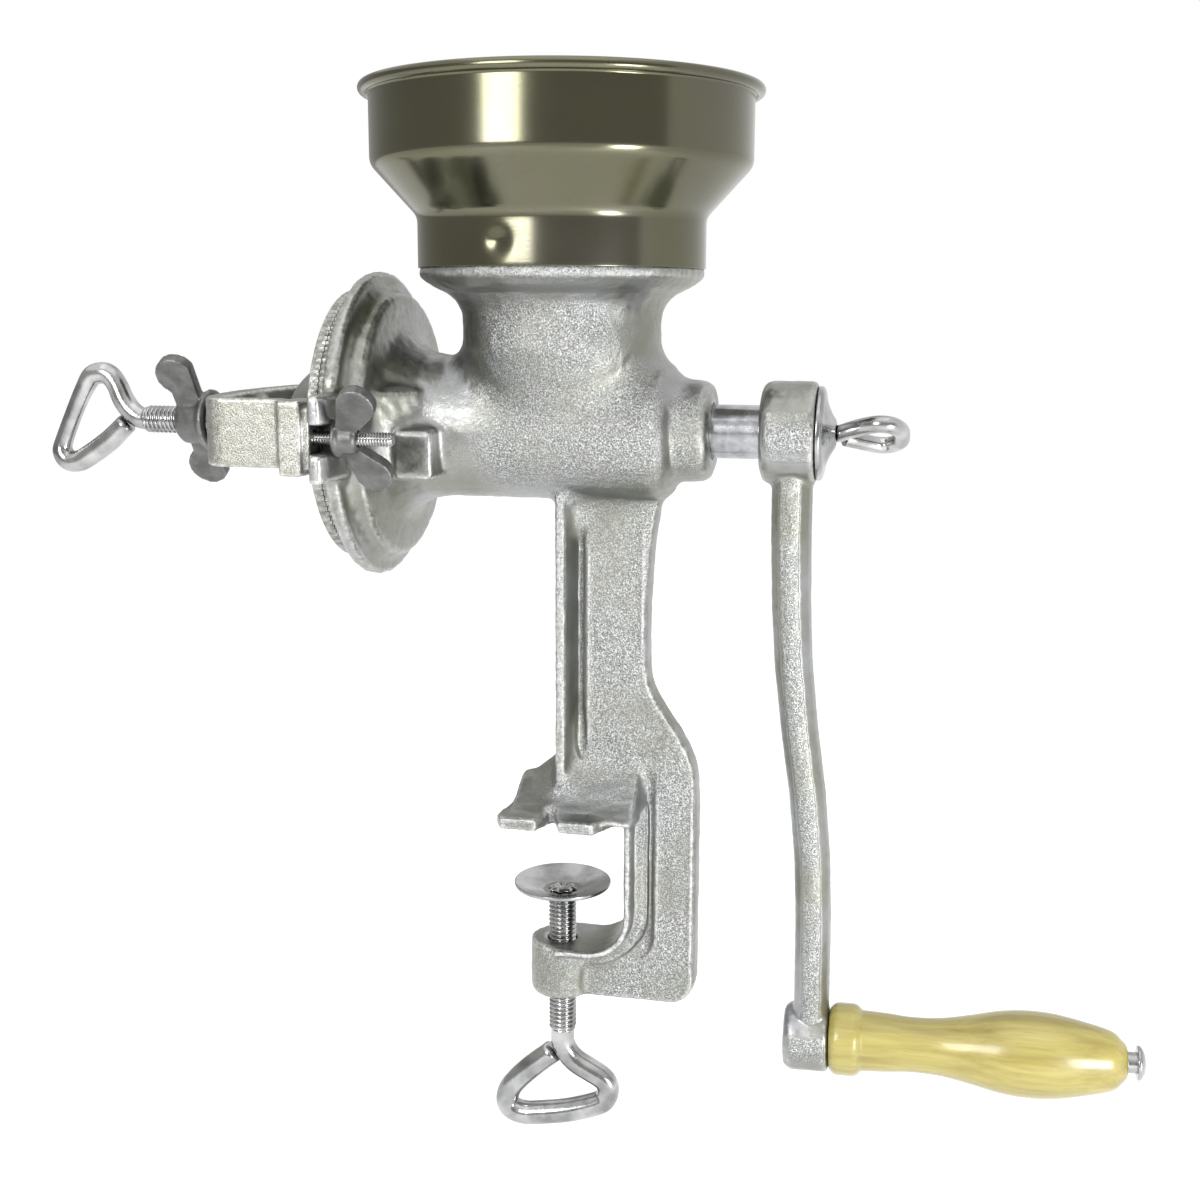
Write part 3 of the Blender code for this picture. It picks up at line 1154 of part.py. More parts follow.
def build():
    clear_scene()
    finish = casting_finishes()
    barrel_axis = add_axis("barrel_axis", (0, 0, BARREL_AXIS_Z))
    mill_body(finish["cast"], barrel_axis)
    hopper(finish["sheet"], barrel_axis)
    grinding_plates(finish["plate"], finish["plated"], barrel_axis)
    auger(finish["cast"], barrel_axis)
    thrust_ball(finish["plated"], barrel_axis)
    bridge(finish["cast"], barrel_axis)
    adjusting_screw(finish["plated"], barrel_axis)
    studs_and_nuts(finish["plated"], finish["dark"], barrel_axis)
    clamp_screw(finish["plated"])
    swivel_pad(finish["plated"])
    grip_axis = handle_axis(barrel_axis)
    crank_arm(finish["cast"], barrel_axis, grip_axis)
    crank_washer(finish["plated"], barrel_axis)
    crank_screw(finish["plated"], barrel_axis)
    grip(finish["wood"], grip_axis)
    grip_bolt(finish["plated"], grip_axis)


build()
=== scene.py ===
"""Looks of the hand-cranked grain mill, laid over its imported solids.

Lengths are in metres in the model's own frame: +X runs along the barrel to the crank, +Z is up, and
the origin is under the clamp's upper jaw.
"""

import math

import bpy
import numpy as np
from mathutils import Matrix, Vector


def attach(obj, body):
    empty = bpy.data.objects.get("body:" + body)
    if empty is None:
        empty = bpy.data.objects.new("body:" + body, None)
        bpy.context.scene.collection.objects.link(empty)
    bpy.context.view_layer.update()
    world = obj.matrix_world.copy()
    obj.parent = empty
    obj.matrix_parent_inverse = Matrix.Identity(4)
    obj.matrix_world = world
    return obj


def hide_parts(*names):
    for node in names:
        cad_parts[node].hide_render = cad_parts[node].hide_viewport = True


def rgb(red, green, blue):
    """Linear colour from display values of 0 to 255."""
    return (*[(c / 255 / 12.92 if c <= 10 else ((c / 255 + 0.055) / 1.055) ** 2.4)
              for c in (red, green, blue)], 1)


# Photograph
IMAGE_WIDTH = 1200
FOCAL_PIXELS = 1525
SENSOR_WIDTH = 36
CAMERA_PLACE = Vector((0.1363, -0.5569, 0.1955))
CAMERA_TARGET = Vector((0.01466, 0, 0.08731))
CAMERA_ROLL = math.radians(0.23)
CAMERA_CLIP = 0.01

# Places that the fine pieces share with the solids
BARREL_AXIS_Z = 0.1487
CRANK_RADIUS = 0.2343
GAP = 0.0003
STUD_Y = 0.0630
GRIP_START_X = 0.1065
GRIP_TILT = math.radians(1.35)

# Hopper
SHEET = 0.0010
HOPPER_FOOT = 0.0583
HOPPER_COLLAR_R = 0.0527
HOPPER_COLLAR_TOP = 0.0766
HOPPER_BOWL_R = 0.0694
HOPPER_BOWL_BOTTOM = 0.0947
HOPPER_RIM_Z = 0.1206
HOPPER_RIM_R = 0.0711
HOPPER_BEND = 0.0024
HOPPER_ROW = 0.0012
# Bead around the rim, with the angles of its section in degrees
HOPPER_BEAD_R = 0.0020
HOPPER_BEAD_REACH = 1.1
HOPPER_BEAD_FROM = -125
HOPPER_BEAD_SWEEP = 265
HOPPER_BEAD_STEPS = 24
# Dent in the collar
DIMPLE_ANGLE = math.radians(-101)
DIMPLE_Z = 0.0665
DIMPLE_WIDTH = 0.0042
DIMPLE_HEIGHT = 0.0036
DIMPLE_DEPTH = 0.0009

# Worm: where its turned shaft begins, and the smoothing of its domed head
SHAFT_FROM_X = 0.0450
HEAD_FROM_X = -0.0815
HEAD_FADE = 0.0020
HEAD_ROUNDS = 60
HEAD_STEP = 0.5

# Grinding plates
PLATE_R = 0.0506
PLATE_THICK = 0.0034
PLATE_BORE_R = 0.0212
PLATE_MEET_X = -0.07745
PLATE_TEETH = 132
PLATE_TOOTH = 0.0007
PLATE_PIN_RING_R = 0.0400
DRIVE_PIN_RING_R = 0.0255
PIN_HOLE_R = 0.0025
PIN_HOLE_DEPTH = 0.0020
# Teeth: share of the radius beyond which they are cut, share of the thickness where they run out
TOOTH_FROM = 0.98
TOOTH_RUN = 0.7
TOOTH_POWER = 0.7
TOOTH_ROWS = 8
TOOTH_POINTS = 6

# Screws
THREAD_PITCH = 0.001814
STUD_PITCH = 0.001058
CRANK_PITCH = STUD_PITCH * 1.2
THREAD_DEPTH_SHARE = 0.55
THREAD_SLOPE = 1.35
THREAD_FLAT = 0.1
THREAD_ENTRY = 0.7
THREAD_START_SHARE = 0.93
LOOP_SAMPLES = 6
LOOP_END_LENGTH = 0.12
LOOP_END_WIDTH = 0.86
ADJUST_TIP_X = -0.1111
ADJUST_NECK_X = -0.1708
ADJUST_SCREW_R = 0.0054
ADJUST_WIRE_R = 0.0043
ADJUST_LOOP_LENGTH = 0.0418
ADJUST_LOOP_HALF = 0.0221
CLAMP_TIP_Z = -0.0358
CLAMP_NECK_Z = -0.0937
CLAMP_SCREW_R = 0.0055
CLAMP_WIRE_R = 0.00475
CLAMP_LOOP_LENGTH = 0.0435
CLAMP_LOOP_HALF = 0.0282
CRANK_TIP_X = 0.0728
CRANK_NECK_X = 0.1020
CRANK_SCREW_R = 0.0040
CRANK_WIRE_R = 0.0031
CRANK_LOOP_LENGTH = 0.0260
CRANK_LOOP_HALF = 0.0158
CRANK_SCREW_TURN = math.radians(-68)
STUD_R = 0.0025
STUD_SIDES = 20
STUD_HEAD_X = -0.0831
STUD_TAIL_X = -0.0440

# Swivel pad
PAD_R = 0.0191
PAD_TOP_Z = -0.0301
PAD_DISH = 0.0036
PAD_SHEET = 0.0018
PAD_HOLE_R = 0.0042
PAD_FLAT_SHARE = 0.42
PAD_KNEE_SHARE = 0.8
PAD_KNEE_DROP = 0.35
PAD_LIP_SHARE = 0.8
PAD_HOLE_FILLET = 0.0003
PAD_FLAT_FILLET = 0.0012
PAD_KNEE_FILLET = 0.0020
PAD_EDGE_FILLET = 0.0005
STEM_R = 0.0038
STAKE_R = 0.0056
STAKE_HEIGHT = 0.0012
STAKE_POINTS = 8
STAKE_SPREAD = 0.10
STAKE_STEP = 0.0001
STAKE_FOOT_SHARE = 0.97
STAKE_FACE_SHARE = 0.66
STAKE_PIT_SHARE = 0.30
STAKE_PIT_DEPTH = 0.8
STAKE_PIT_BOTTOM = 0.9
STAKE_FILLETS = (0.0003, 0.0008, 0.0006)

# Crank washer
WASHER_BASE_X = 0.0953
WASHER_R = 0.0171
WASHER_SHEET = 0.0014
WASHER_RISE = 0.0050
WASHER_HOLE_R = 0.0043
WASHER_FLAT_R = 0.0050
WASHER_EASE = 0.3
WASHER_INSIDE_SHARE = 0.92
WASHER_FOOT_SHARE = 0.88
WASHER_SHARES = [(0.20, 0.92), (0.28, 0.74), (0.45, 0.58), (0.75, 0.40)]

# Grip and its bolt
GRIP_LENGTH = 0.1100
GRIP_RING_LENGTH = 0.0122
GRIP_RING_R = 0.0137
GRIP_WAIST_R = 0.0103
GRIP_BELLY_R = 0.0160
GRIP_TAIL_R = 0.0082
GRIP_BORE_R = 0.0043
GRIP_EDGE_SHARE = 0.15
GRIP_SAMPLES = 8
# Grip's corners as shares of its edge
GRIP_STEP_ALONG = 0.15
GRIP_STEP_DOWN = 1.1
GRIP_RING_EASE = 0.5
GRIP_TAIL_EASE = 0.6
# Bolt, along the grip's axis
BOLT_START = -0.0172
BOLT_NECK = 0.1138
BOLT_R = 0.0039
BOLT_TIP_R = 0.0003
BOLT_EASE = 0.0003
BOLT_HEAD_R = 0.0064
BOLT_HEAD_THICK = 0.0034
# Bolt's head: share of the thickness, share of the radius, fillet
BOLT_HEAD_SHAPE = [(0.0, 1.0, 0.0004), (0.4, 1.0, 0.0009), (0.85, 0.6, 0.0012)]

# Stage
FLOOR_Z = -0.1560
ROOM_R = 2.6
ROOM_TOP = 1.5
ROOM_FROM = math.radians(-170)
ROOM_TO = math.radians(76)
ROOM_STEPS = 48
ROOM_COLOUR = (1.0, 0.985, 0.95, 1)
ROOM_LEVEL = 0.44
FLOOR_REACH = 4.0
FLOOR_COLOUR = (0.8, 0.8, 0.8, 1)
FLOOR_ROUGHNESS = 0.9
FLOOR_GLOW = 0.6
WORLD_SEEN = (1, 1, 1, 1)
WORLD_LIGHT = (0.55, 0.55, 0.55, 1)
# Lamps: name, azimuth and elevation in degrees, distance, size, radiance, place aimed at
LAMPS = [
    ("left_window", -20, 14, 0.95, (0.35, 0.42), 11, (0, 0, 0.20)),
    ("right_window", 50, 0, 0.62, (0.15, 0.20), 22, (0, 0, -0.010)),
    ("ceiling", 0, 80, 1.2, (1.4, 1.4), 0.8, (0, 0, 0.20)),
]

# Fineness of the meshes
FILLET_STEPS = 5
FILLET_REACH = 0.49
NEARLY_SQUARE = 0.001
ROUND_FINE = 160
ROUND_SMALL = 64
WIRE_SIDES = 28
THREAD_STEPS = 8
AXIS_R = 0.0002
SHARP_ANGLE = math.radians(50)
PLATE_SHARP_ANGLE = math.radians(30)
CAST_CELL = 0.0011
SMALL_CELL = 0.0006
FILL_ROUNDS = 140
FILL_STEP = 0.6
HOLLOW_R = 0.0030

# Boxes of the body where hollows are rounder: low corner, high corner, radius
BODY_ZONES = [
    ((-0.045, -0.050, 0.1560), (0.050, 0.050, 0.1900), 0.030),
    ((-0.004, -0.016, 0.1080), (0.045, 0.016, 0.1300), 0.012),
    ((-0.018, -0.030, 0.0030), (0.034, 0.030, 0.0400), 0.012),
    ((-0.068, -0.070, 0.0900), (-0.040, 0.070, 0.2100), 0.008),
]
# Castings: name, solid, body, slot, cell, rounds of smoothing, zones of rounder hollows (None where
# no hollow is filled), height and grain of the uneven skin
CASTINGS = [
    ("cast_body", "mill_body", "mill", "tinned_casting", CAST_CELL, 4, BODY_ZONES, 0.00045, 0.004),
    ("cast_bridge", "bridge", "mill", "tinned_casting", SMALL_CELL * 1.2, 3, [], 0.0003, 0.003),
    ("cast_crank", "crank_arm", "drive", "tinned_casting", SMALL_CELL * 1.3, 6, [], 0.0003, 0.004),
    ("cast_worm", "auger", "drive", "tinned_casting", SMALL_CELL * 1.4, 3, None, 0, 0),
    ("forged_lock_nut", "lock_wing_nut", "lock_nut", "dull_steel", SMALL_CELL, 5, None, 0, 0),
    ("forged_front_nut", "front_wing_nut", "front_nut", "dull_steel", SMALL_CELL * 0.7, 4, None, 0, 0),
    ("forged_rear_nut", "rear_wing_nut", "rear_nut", "dull_steel", SMALL_CELL * 0.7, 4, None, 0, 0),
]

# Strips of the web's broad faces: X, half width, lowest and highest Z, how far they stand out
WEB_STRIPS = [
    (0.0078, 0.0034, 0.0200, 0.1120, -0.0018),
    (0.0116, 0.0014, 0.0240, 0.1060, 0.0006),
    (0.0325, 0.0014, 0.0620, 0.1160, 0.0006),
    (0.0338, 0.0042, -0.0540, 0.0120, -0.0018),
    (0.0388, 0.0014, -0.0520, 0.0100, 0.0006),
    (0.0524, 0.0014, -0.0640, 0.0140, 0.0006),
]
WEB_FACE_LOW = 0.0022
WEB_FACE_HIGH = 0.0072
STRIP_END = 0.0060

# Outlines as shares of the sizes that they follow
# Loops: share of the length past the neck, share of the half width, share of the bar's radius
ADJUST_LOOP_SHARES = [(0.00, 0.00, 1.0), (0.08, 0.04, 1.0), (0.17, 0.18, 1.0), (0.25, 0.42, 1.0),
                      (0.32, 0.76, 0.96), (0.40, 0.96, 0.98), (0.49, 1.00, 1.0), (0.60, 0.93, 0.95),
                      (0.69, 0.68, 0.85), (0.80, 0.26, 0.80), (0.97, -0.50, 0.82), (1.00, -0.78, 0.95),
                      (0.94, -0.97, 1.0), (0.82, -0.99, 1.0), (0.69, -0.86, 1.0), (0.44, -0.51, 1.0),
                      (0.225, -0.11, 0.95)]
CLAMP_LOOP_SHARES = [(0.00, 0.00, 1.0), (0.13, 0.00, 1.0), (0.25, 0.08, 1.0), (0.35, 0.24, 1.0),
                     (0.43, 0.48, 1.0), (0.51, 0.71, 0.97), (0.60, 0.80, 0.95), (0.72, 0.77, 0.95),
                     (0.80, 0.62, 1.0), (0.91, 0.13, 1.0), (0.98, -0.41, 1.0), (1.00, -0.68, 1.0),
                     (0.965, -0.91, 1.0), (0.865, -1.00, 1.0), (0.70, -0.91, 1.0), (0.49, -0.60, 1.0),
                     (0.265, -0.175, 0.97)]
CRANK_LOOP_SHARES = [(0.00, 0.00, 1.0), (0.10, 0.16, 1.0), (0.25, 0.45, 1.0), (0.45, 0.78, 1.0),
                     (0.66, 0.99, 1.0), (0.85, 0.90, 1.0), (0.98, 0.50, 1.0), (1.00, 0.00, 1.0),
                     (0.98, -0.50, 1.0), (0.85, -0.90, 1.0), (0.66, -0.99, 1.0), (0.46, -0.80, 1.0),
                     (0.25, -0.52, 1.0), (0.12, -0.38, 1.0)]
# Grip: share of the length, share of the way from waist to belly radius
GRIP_BODY_SHARES = [(0.20, 0.12), (0.28, 0.00), (0.38, 0.08), (0.48, 0.42), (0.58, 0.84),
                    (0.67, 1.00), (0.76, 0.92), (0.86, 0.56), (0.95, 0.10)]

# Finishes; stops are pairs of a place on a ramp and the colour or level there
# Casting: colours from the painted shade of its pits and creases to the painted highlight on its edges
CAST_COLOURS = (rgb(98, 99, 95), rgb(144, 146, 144), rgb(216, 217, 216))
CAST_SMOOTH_COLOURS = [(0.34, rgb(136, 138, 128)), (0.50, rgb(150, 151, 146)), (0.64, rgb(162, 163, 165))]
CAST_BROAD = [(0.50, 0.06), (0.90, 1.0)]
CAST_PATCHES = [(0.36, 0.45), (0.58, 1.0)]
# Painted highlight: ramps for the bright colour laid along the casting's convex edges, in patches
CAST_EDGE_HIGHLIGHT = [(0.510, 0.0), (0.550, 1.0)]
CAST_EDGE_HIGHLIGHT_PATCHES = [(0.40, 0.25), (0.58, 1.0)]
# Painted shade: ramp for the dark colour laid in the casting's sharp inner corners and creases
CAST_CREASE_SHADE = [(0.34, 0.25), (0.43, 0.0)]
CAST_ROUGH = [(0.3, 0.31), (0.7, 0.45)]
GRAIN_SCALE = 1700
COARSE_SCALE = 620
PATCH_SCALE = 38
COARSE_SHARE = 0.6
SOFT_SHARE = 0.25
SOFT_STRENGTH = 0.4
SAND_DEPTH = 0.0005
SAND_FROM_X = -0.030
SAND_FADE = 0.012
SAND_EVERYWHERE = -1.0
SAND_START = [(0, 0.2), (1, 1.0)]
# Places on the sand's grain of its painted shade, its mid colour and its painted sparkle
SAND_SHADE_TO_SPARKLE = (0.36, 0.50, 0.64)
SAND_COLOUR_SHARE = 0.8
BRIDGE_COLOURS = (rgb(108, 100, 72), rgb(184, 181, 166), rgb(226, 225, 218))
BRIDGE_DEPTH_SHARE = 0.7
BRIDGE_BROAD = [(0.50, 0.0), (0.90, 0.6)]
ARM_BROAD = [(0.86, 0.0), (0.98, 0.9)]
# Turned shaft
STAIN_SCALE = 120
STEEL_BUMP = 0.5
STEEL_COLOURS = [(0.36, rgb(138, 139, 142)), (0.60, rgb(180, 181, 184))]
STEEL_ROUGHNESS = 0.24
STEEL_DEPTH = 0.00008
# Hopper's sheet
TINPLATE_SCALE = 16
TINPLATE_SPECK_SCALE = 900
TINPLATE_RING_SCALE = 60
TINPLATE_RING_STRETCH = (1, 1, 22)
TINPLATE_BUMP = 0.25
TINPLATE_COLOURS = [(0.36, rgb(101, 99, 87)), (0.52, rgb(105, 104, 85)), (0.66, rgb(115, 112, 103))]
TINPLATE_SPECKS = [(0.60, 0.0), (0.78, 0.35)]
TINPLATE_SPECK_COLOUR = rgb(80, 78, 68)
TINPLATE_ROUGH = [(0.35, 0.15), (0.7, 0.21)]
TINPLATE_RING_DEPTH = 0.00004
TINPLATE_WAVE_DEPTH = 0.0012
# Screws, pad and washer
PLATED_SCALE = 90
PLATED_FINE_SCALE = 700
PLATED_BUMP = 0.5
PLATED_COLOURS = [(0.35, rgb(140, 141, 141)), (0.65, rgb(190, 191, 190))]
PLATED_ROUGH = [(0.3, 0.14), (0.7, 0.26)]
PLATED_DEPTH = 0.00006
# Wing nuts
DULL_SCALE = 160
DULL_FINE_SCALE = 1100
DULL_BUMP = 0.6
DULL_COLOURS = [(0.35, rgb(92, 93, 92)), (0.65, rgb(118, 118, 116))]
DULL_WORN = [(0.52, 0.0), (0.60, 1.0)]
DULL_WORN_PATCHES = [(0.40, 0.2), (0.60, 1.0)]
DULL_WORN_COLOUR = rgb(190, 190, 186)
DULL_ROUGH = [(0.3, 0.34), (0.7, 0.50)]
DULL_DEPTH = 0.00010
# Grinding plates
IRON_SCALE = 350
IRON_FINE_SCALE = 1300
IRON_BUMP = 0.9
IRON_FINE_BUMP = 0.6
IRON_COLOURS = [(0.36, rgb(124, 124, 119)), (0.52, rgb(156, 156, 151)), (0.66, rgb(182, 182, 178))]
IRON_ROUGH = [(0.3, 0.30), (0.7, 0.48)]
IRON_COARSE_DEPTH = 0.0005
IRON_FINE_DEPTH = 0.0001
# Grip
WOOD_SCALE = 1.6
WOOD_STRETCH = (7, 150, 150)
WOOD_PORE_SCALE = 1.5
WOOD_PORE_STRETCH = (40, 900, 900)
WOOD_BUMP = 0.35
WOOD_COAT = 0.7
WOOD_COAT_ROUGHNESS = 0.17
WOOD_COLOURS = [(0.30, rgb(144, 130, 62)), (0.50, rgb(166, 153, 80)), (0.70, rgb(182, 170, 98))]
WOOD_PORES = [(0.62, 0.0), (0.78, 0.45)]
WOOD_PORE_COLOUR = rgb(122, 108, 50)
WOOD_PORE_DEPTH = 0.00006

# Turns the Z axis of a turned piece onto X
ALONG_X = Matrix(((0, 0, 1, 0), (0, 1, 0, 0), (-1, 0, 0, 0), (0, 0, 0, 1)))


# Meshes


def linked(name, data):
    made = bpy.data.objects.new(name, data)
    bpy.context.scene.collection.objects.link(made)
    return made


def put(name, mesh, finish, body, nodes):
    """Shows a mesh that rides on a body in place of the body's solids."""
    made = linked(name, mesh)
    mesh.materials.clear()
    mesh.materials.append(finish)
    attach(made, body)
    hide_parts(*nodes)


def skin(name, rings, closed):
    """Surface through rings of equal point counts, joined end to end or capped."""
    rings = np.array(rings, float)
    rows, columns, _ = rings.shape
    verts = rings.reshape(-1, 3).tolist()
    faces = []
    for i in range(rows if closed else rows - 1):
        here, there = i * columns, (i + 1) % rows * columns
        for j in range(columns):
            k = (j + 1) % columns
            faces.append((here + j, here + k, there + k, there + j))
    if not closed:
        for row, flip in ((0, True), (rows - 1, False)):
            middle = len(verts)
            verts.append(rings[row].mean(0).tolist())
            for j in range(columns):
                a, b = row * columns + j, row * columns + (j + 1) % columns
                faces.append((b, a, middle) if flip else (a, b, middle))
    mesh = bpy.data.meshes.new(name)
    mesh.from_pydata(verts, [], faces)
    mesh.shade_smooth()
    mesh.set_sharp_from_angle(angle=SHARP_ANGLE)
    return mesh


def rounded(profile, closed=True):
    """Outline through the (along, radius, fillet) points of a profile, each eased by its fillet."""
    points = []
    last = len(profile) - 1
    for i, (a, b, fillet) in enumerate(profile):
        here = Vector((a, b))
        if not fillet or (not closed and i in (0, last)):
            points.append(here)
            continue
        before = Vector(profile[i - 1][:2]) - here
        after = Vector(profile[(i + 1) % len(profile)][:2]) - here
        start = here + before.normalized() * min(fillet, before.length * FILLET_REACH)
        end = here + after.normalized() * min(fillet, after.length * FILLET_REACH)
        for step in range(FILLET_STEPS + 1):
            t = step / FILLET_STEPS
            points.append(start * (1 - t) ** 2 + here * 2 * t * (1 - t) + end * t ** 2)
    return points


def turned(name, outline, steps, closed=True, shape=None):
    """Surface of revolution about Z from (along, radius) points.

    shape may change a point's radius: it takes along, radius and angle.
    """
    rings = []
    for along, radius in outline:
        ring = []
        for i in range(steps):
            angle = 2 * math.pi * i / steps
            r = shape(along, radius, angle) if shape else radius
            ring.append((r * math.cos(angle), r * math.sin(angle), along))
        rings.append(ring)
    return skin(name, rings if closed else rings[::-1], closed)


def between(points, samples):
    """Smooth curve through the points, with some samples on each span."""
    curve = []
    padded = [points[0]] + points + [points[-1]]
    for a, b, c, d in zip(padded, padded[1:], padded[2:], padded[3:]):
        for i in range(samples):
            t = i / samples
            curve.append(0.5 * (2 * b + (c - a) * t + (2 * a - 5 * b + 4 * c - d) * t ** 2
                                + (3 * b - a - 3 * c + d) * t ** 3))
    curve.append(points[-1])
    return curve


def thread(radius, pitch, along, angle):
    """Radius of a right-handed thread at a place along the axis and an angle about it."""
    phase = (along / pitch - angle / (2 * math.pi)) % 1
    crest = min(1, max(0, THREAD_SLOPE * (1 - abs(2 * phase - 1)) - THREAD_FLAT))
    return radius - pitch * THREAD_DEPTH_SHARE * (1 - crest)


def circle(middle, side, up, radius, turns):
    """Circle about a middle, in the plane of two square directions."""
    return [middle + side * (radius * math.cos(a)) + up * (radius * math.sin(a)) for a in turns]


def screw_mesh(name, ends, across, sizes, pitch, shares, sides):
    """Threaded shank from tip to neck, then a bar bent into a loop."""
    tip, neck = ends
    screw_r, wire, length, half = sizes
    along = (neck - tip).normalized()
    shank = (neck - tip).length
    count = round(shank / pitch * THREAD_STEPS)
    start_r = (screw_r - pitch * THREAD_DEPTH_SHARE) * THREAD_START_SHARE
    rings = []
    side = across.normalized()
    up = along.cross(side)
    turns = [2 * math.pi * i / sides for i in range(sides)]
    for i in range(count + 1):
        s = shank * i / count
        fade = min(1, (shank - s) / pitch)
        entry = min(1, s / (pitch * THREAD_ENTRY))
        row = []
        for a in turns:
            r = start_r + (thread(screw_r, pitch, s, a) - start_r) * entry
            r = r * fade + wire * (1 - fade)
            row.append(tip + along * s + side * (r * math.cos(a)) + up * (r * math.sin(a)))
        rings.append(row)
    if shares:
        rows = [(*(neck + along * (length - wire) * a + across * (half - wire) * b), wire * c)
                for a, b, c in shares]
        curve = between([Vector(row) for row in rows], LOOP_SAMPLES)[1:]
        path = [point.xyz for point in curve]
        for i, point in enumerate(curve):
            behind = path[i - 1] if i else neck
            ahead = path[min(i + 1, len(path) - 1)]
            tangent = (ahead - behind).normalized()
            if abs(up.dot(tangent)) >= NEARLY_SQUARE:
                up = (up - tangent * up.dot(tangent)).normalized()
            side = up.cross(tangent)
            rings.append(circle(path[i], side, up, point.w, turns))
        end = path[-1] + tangent * wire * LOOP_END_LENGTH
        rings.append(circle(end, side, up, curve[-1].w * LOOP_END_WIDTH, turns))
    return skin(name, rings, False)


def mesh_places(mesh):
    places = np.empty(len(mesh.vertices) * 3)
    mesh.vertices.foreach_get("co", places)
    return places.reshape(-1, 3)


def move_to(mesh, places):
    mesh.vertices.foreach_set("co", places.ravel())
    mesh.update()


def steps_inward(mesh):
    """Function from places of the mesh's points to their ways to the middle of their neighbours."""
    count = len(mesh.vertices)
    pairs = np.empty(len(mesh.edges) * 2, int)
    mesh.edges.foreach_get("vertices", pairs)
    first, second = pairs.reshape(-1, 2).T
    degree = np.maximum(np.bincount(pairs, minlength=count), 1)[:, None]

    def steps(places):
        total = np.zeros_like(places)
        for axis in range(3):
            total[:, axis] = (np.bincount(first, places[second, axis], count)
                              + np.bincount(second, places[first, axis], count))
        return total / degree - places

    return steps


def smooth_head(mesh):
    """Takes the facets off the worm's domed head."""
    places = mesh_places(mesh)
    steps = steps_inward(mesh)
    share = np.clip((HEAD_FROM_X - places[:, 0]) / HEAD_FADE, 0, 1)[:, None] * HEAD_STEP
    for _ in range(HEAD_ROUNDS):
        places = places + steps(places) * share
    move_to(mesh, places)


def fill_hollows(mesh, cell, radius, zones):
    """Fills sharp inner corners until they are as round as the radius, or as a zone's own radius."""
    count = len(mesh.vertices)
    places = mesh_places(mesh)
    steps = steps_inward(mesh)
    limit = np.full(count, cell * cell / (4 * radius))
    for low, high, wide in zones:
        inside = np.all((places > low) & (places < high), axis=1)
        limit[inside] = cell * cell / (4 * wide)
    normals = np.empty(count * 3)
    for _ in range(FILL_ROUNDS):
        step = steps(places)
        move_to(mesh, places)
        mesh.vertex_normals.foreach_get("vector", normals)
        rise = np.sum(step * normals.reshape(-1, 3), axis=1)
        places = places + step * (FILL_STEP * (rise > limit))[:, None]
    move_to(mesh, places)


def press_strips(mesh):
    """Sinks the channels of the web's faces and raises the lips beside them."""
    count = len(mesh.vertices)
    places = mesh_places(mesh)
    normals = np.empty(count * 3)
    mesh.vertex_normals.foreach_get("vector", normals)
    x, y, z = places.T
    level = np.abs(y)
    facing = np.clip(np.abs(normals.reshape(-1, 3)[:, 1]) * 2 - 1, 0, 1)
    facing = facing * ((level > WEB_FACE_LOW) & (level < WEB_FACE_HIGH))
    move = np.zeros(count)
    for middle, half, low, high, depth in WEB_STRIPS:
        across = np.clip(1 - ((x - middle) / half) ** 2, 0, 1) ** 2
        along = np.clip((z - low) / STRIP_END, 0, 1) * np.clip((high - z) / STRIP_END, 0, 1)
        move += depth * across * along
    places[:, 1] += np.sign(y) * move * facing
    move_to(mesh, places)


def applied(source):
    """Mesh of an object with its modifiers, which then goes."""
    graph = bpy.context.evaluated_depsgraph_get()
    mesh = bpy.data.meshes.new_from_object(source.evaluated_get(graph))
    bpy.data.objects.remove(source)
    return mesh


def casting(name, solid, cell, smoothing, zones, height, grain):
    """Copy of a solid, remeshed into a soft-edged casting with an uneven skin."""
    base = linked(name + "_base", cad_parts[solid].data.copy())
    remesh = base.modifiers.new("cells", 'REMESH')
    remesh.mode = 'VOXEL'
    remesh.voxel_size = cell
    soften = base.modifiers.new("soften", 'SMOOTH')
    soften.factor = 0.5
    soften.iterations = smoothing
    mesh = applied(base)
    if zones is not None:
        fill_hollows(mesh, cell, HOLLOW_R, zones)
    if solid == "mill_body":
        press_strips(mesh)
    if solid == "auger":
        smooth_head(mesh)
    if height:
        base = linked(name + "_filled", mesh)
        clouds = bpy.data.textures.new(name + "_skin", 'CLOUDS')
        clouds.noise_scale = grain
        clouds.noise_depth = 2
        uneven = base.modifiers.new("uneven", 'DISPLACE')
        uneven.texture = clouds
        uneven.texture_coords = 'LOCAL'
        uneven.strength = height
        uneven.mid_level = 0.5
        mesh = applied(base)
    mesh.name = name
    mesh.shade_smooth()
    return mesh


# Finishes


def node(tree, kind, inputs=None, **settings):
    """Adds a shader node; an input is a value or another node's output."""
    made = tree.nodes.new(kind)
    for key, value in settings.items():
        setattr(made, key, value)
    for key, value in (inputs or {}).items():
        if isinstance(value, bpy.types.NodeSocket):
            tree.links.new(value, made.inputs[key])
        else:
            made.inputs[key].default_value = value
    return made


def noise(tree, where, scale, detail=3, roughness=0.6):
    made = node(tree, 'ShaderNodeTexNoise', {'Vector': where, 'Scale': scale, 'Detail': detail,
                                             'Roughness': roughness})
    return made.outputs[0]


def stretched_noise(tree, where, stretch, scale, detail):
    place = node(tree, 'ShaderNodeMapping', {0: where, 3: stretch}).outputs[0]
    return noise(tree, place, scale, detail)


def ramp(tree, factor, stops):
    """Ramp through stops, each a place and a colour or a level there."""
    made = node(tree, 'ShaderNodeValToRGB', {0: factor})
    elements = made.color_ramp.elements
    while len(elements) < len(stops):
        elements.new(0.5)
    for element, (place, colour) in zip(elements, stops):
        element.position = place
        element.color = colour if isinstance(colour, tuple) else (colour, colour, colour, 1)
    return made.outputs[0]


def bump(tree, height, distance, strength, below=None):
    inputs = {'Height': height, 'Distance': distance, 'Strength': strength}
    if below:
        inputs['Normal'] = below
    return node(tree, 'ShaderNodeBump', inputs).outputs[0]


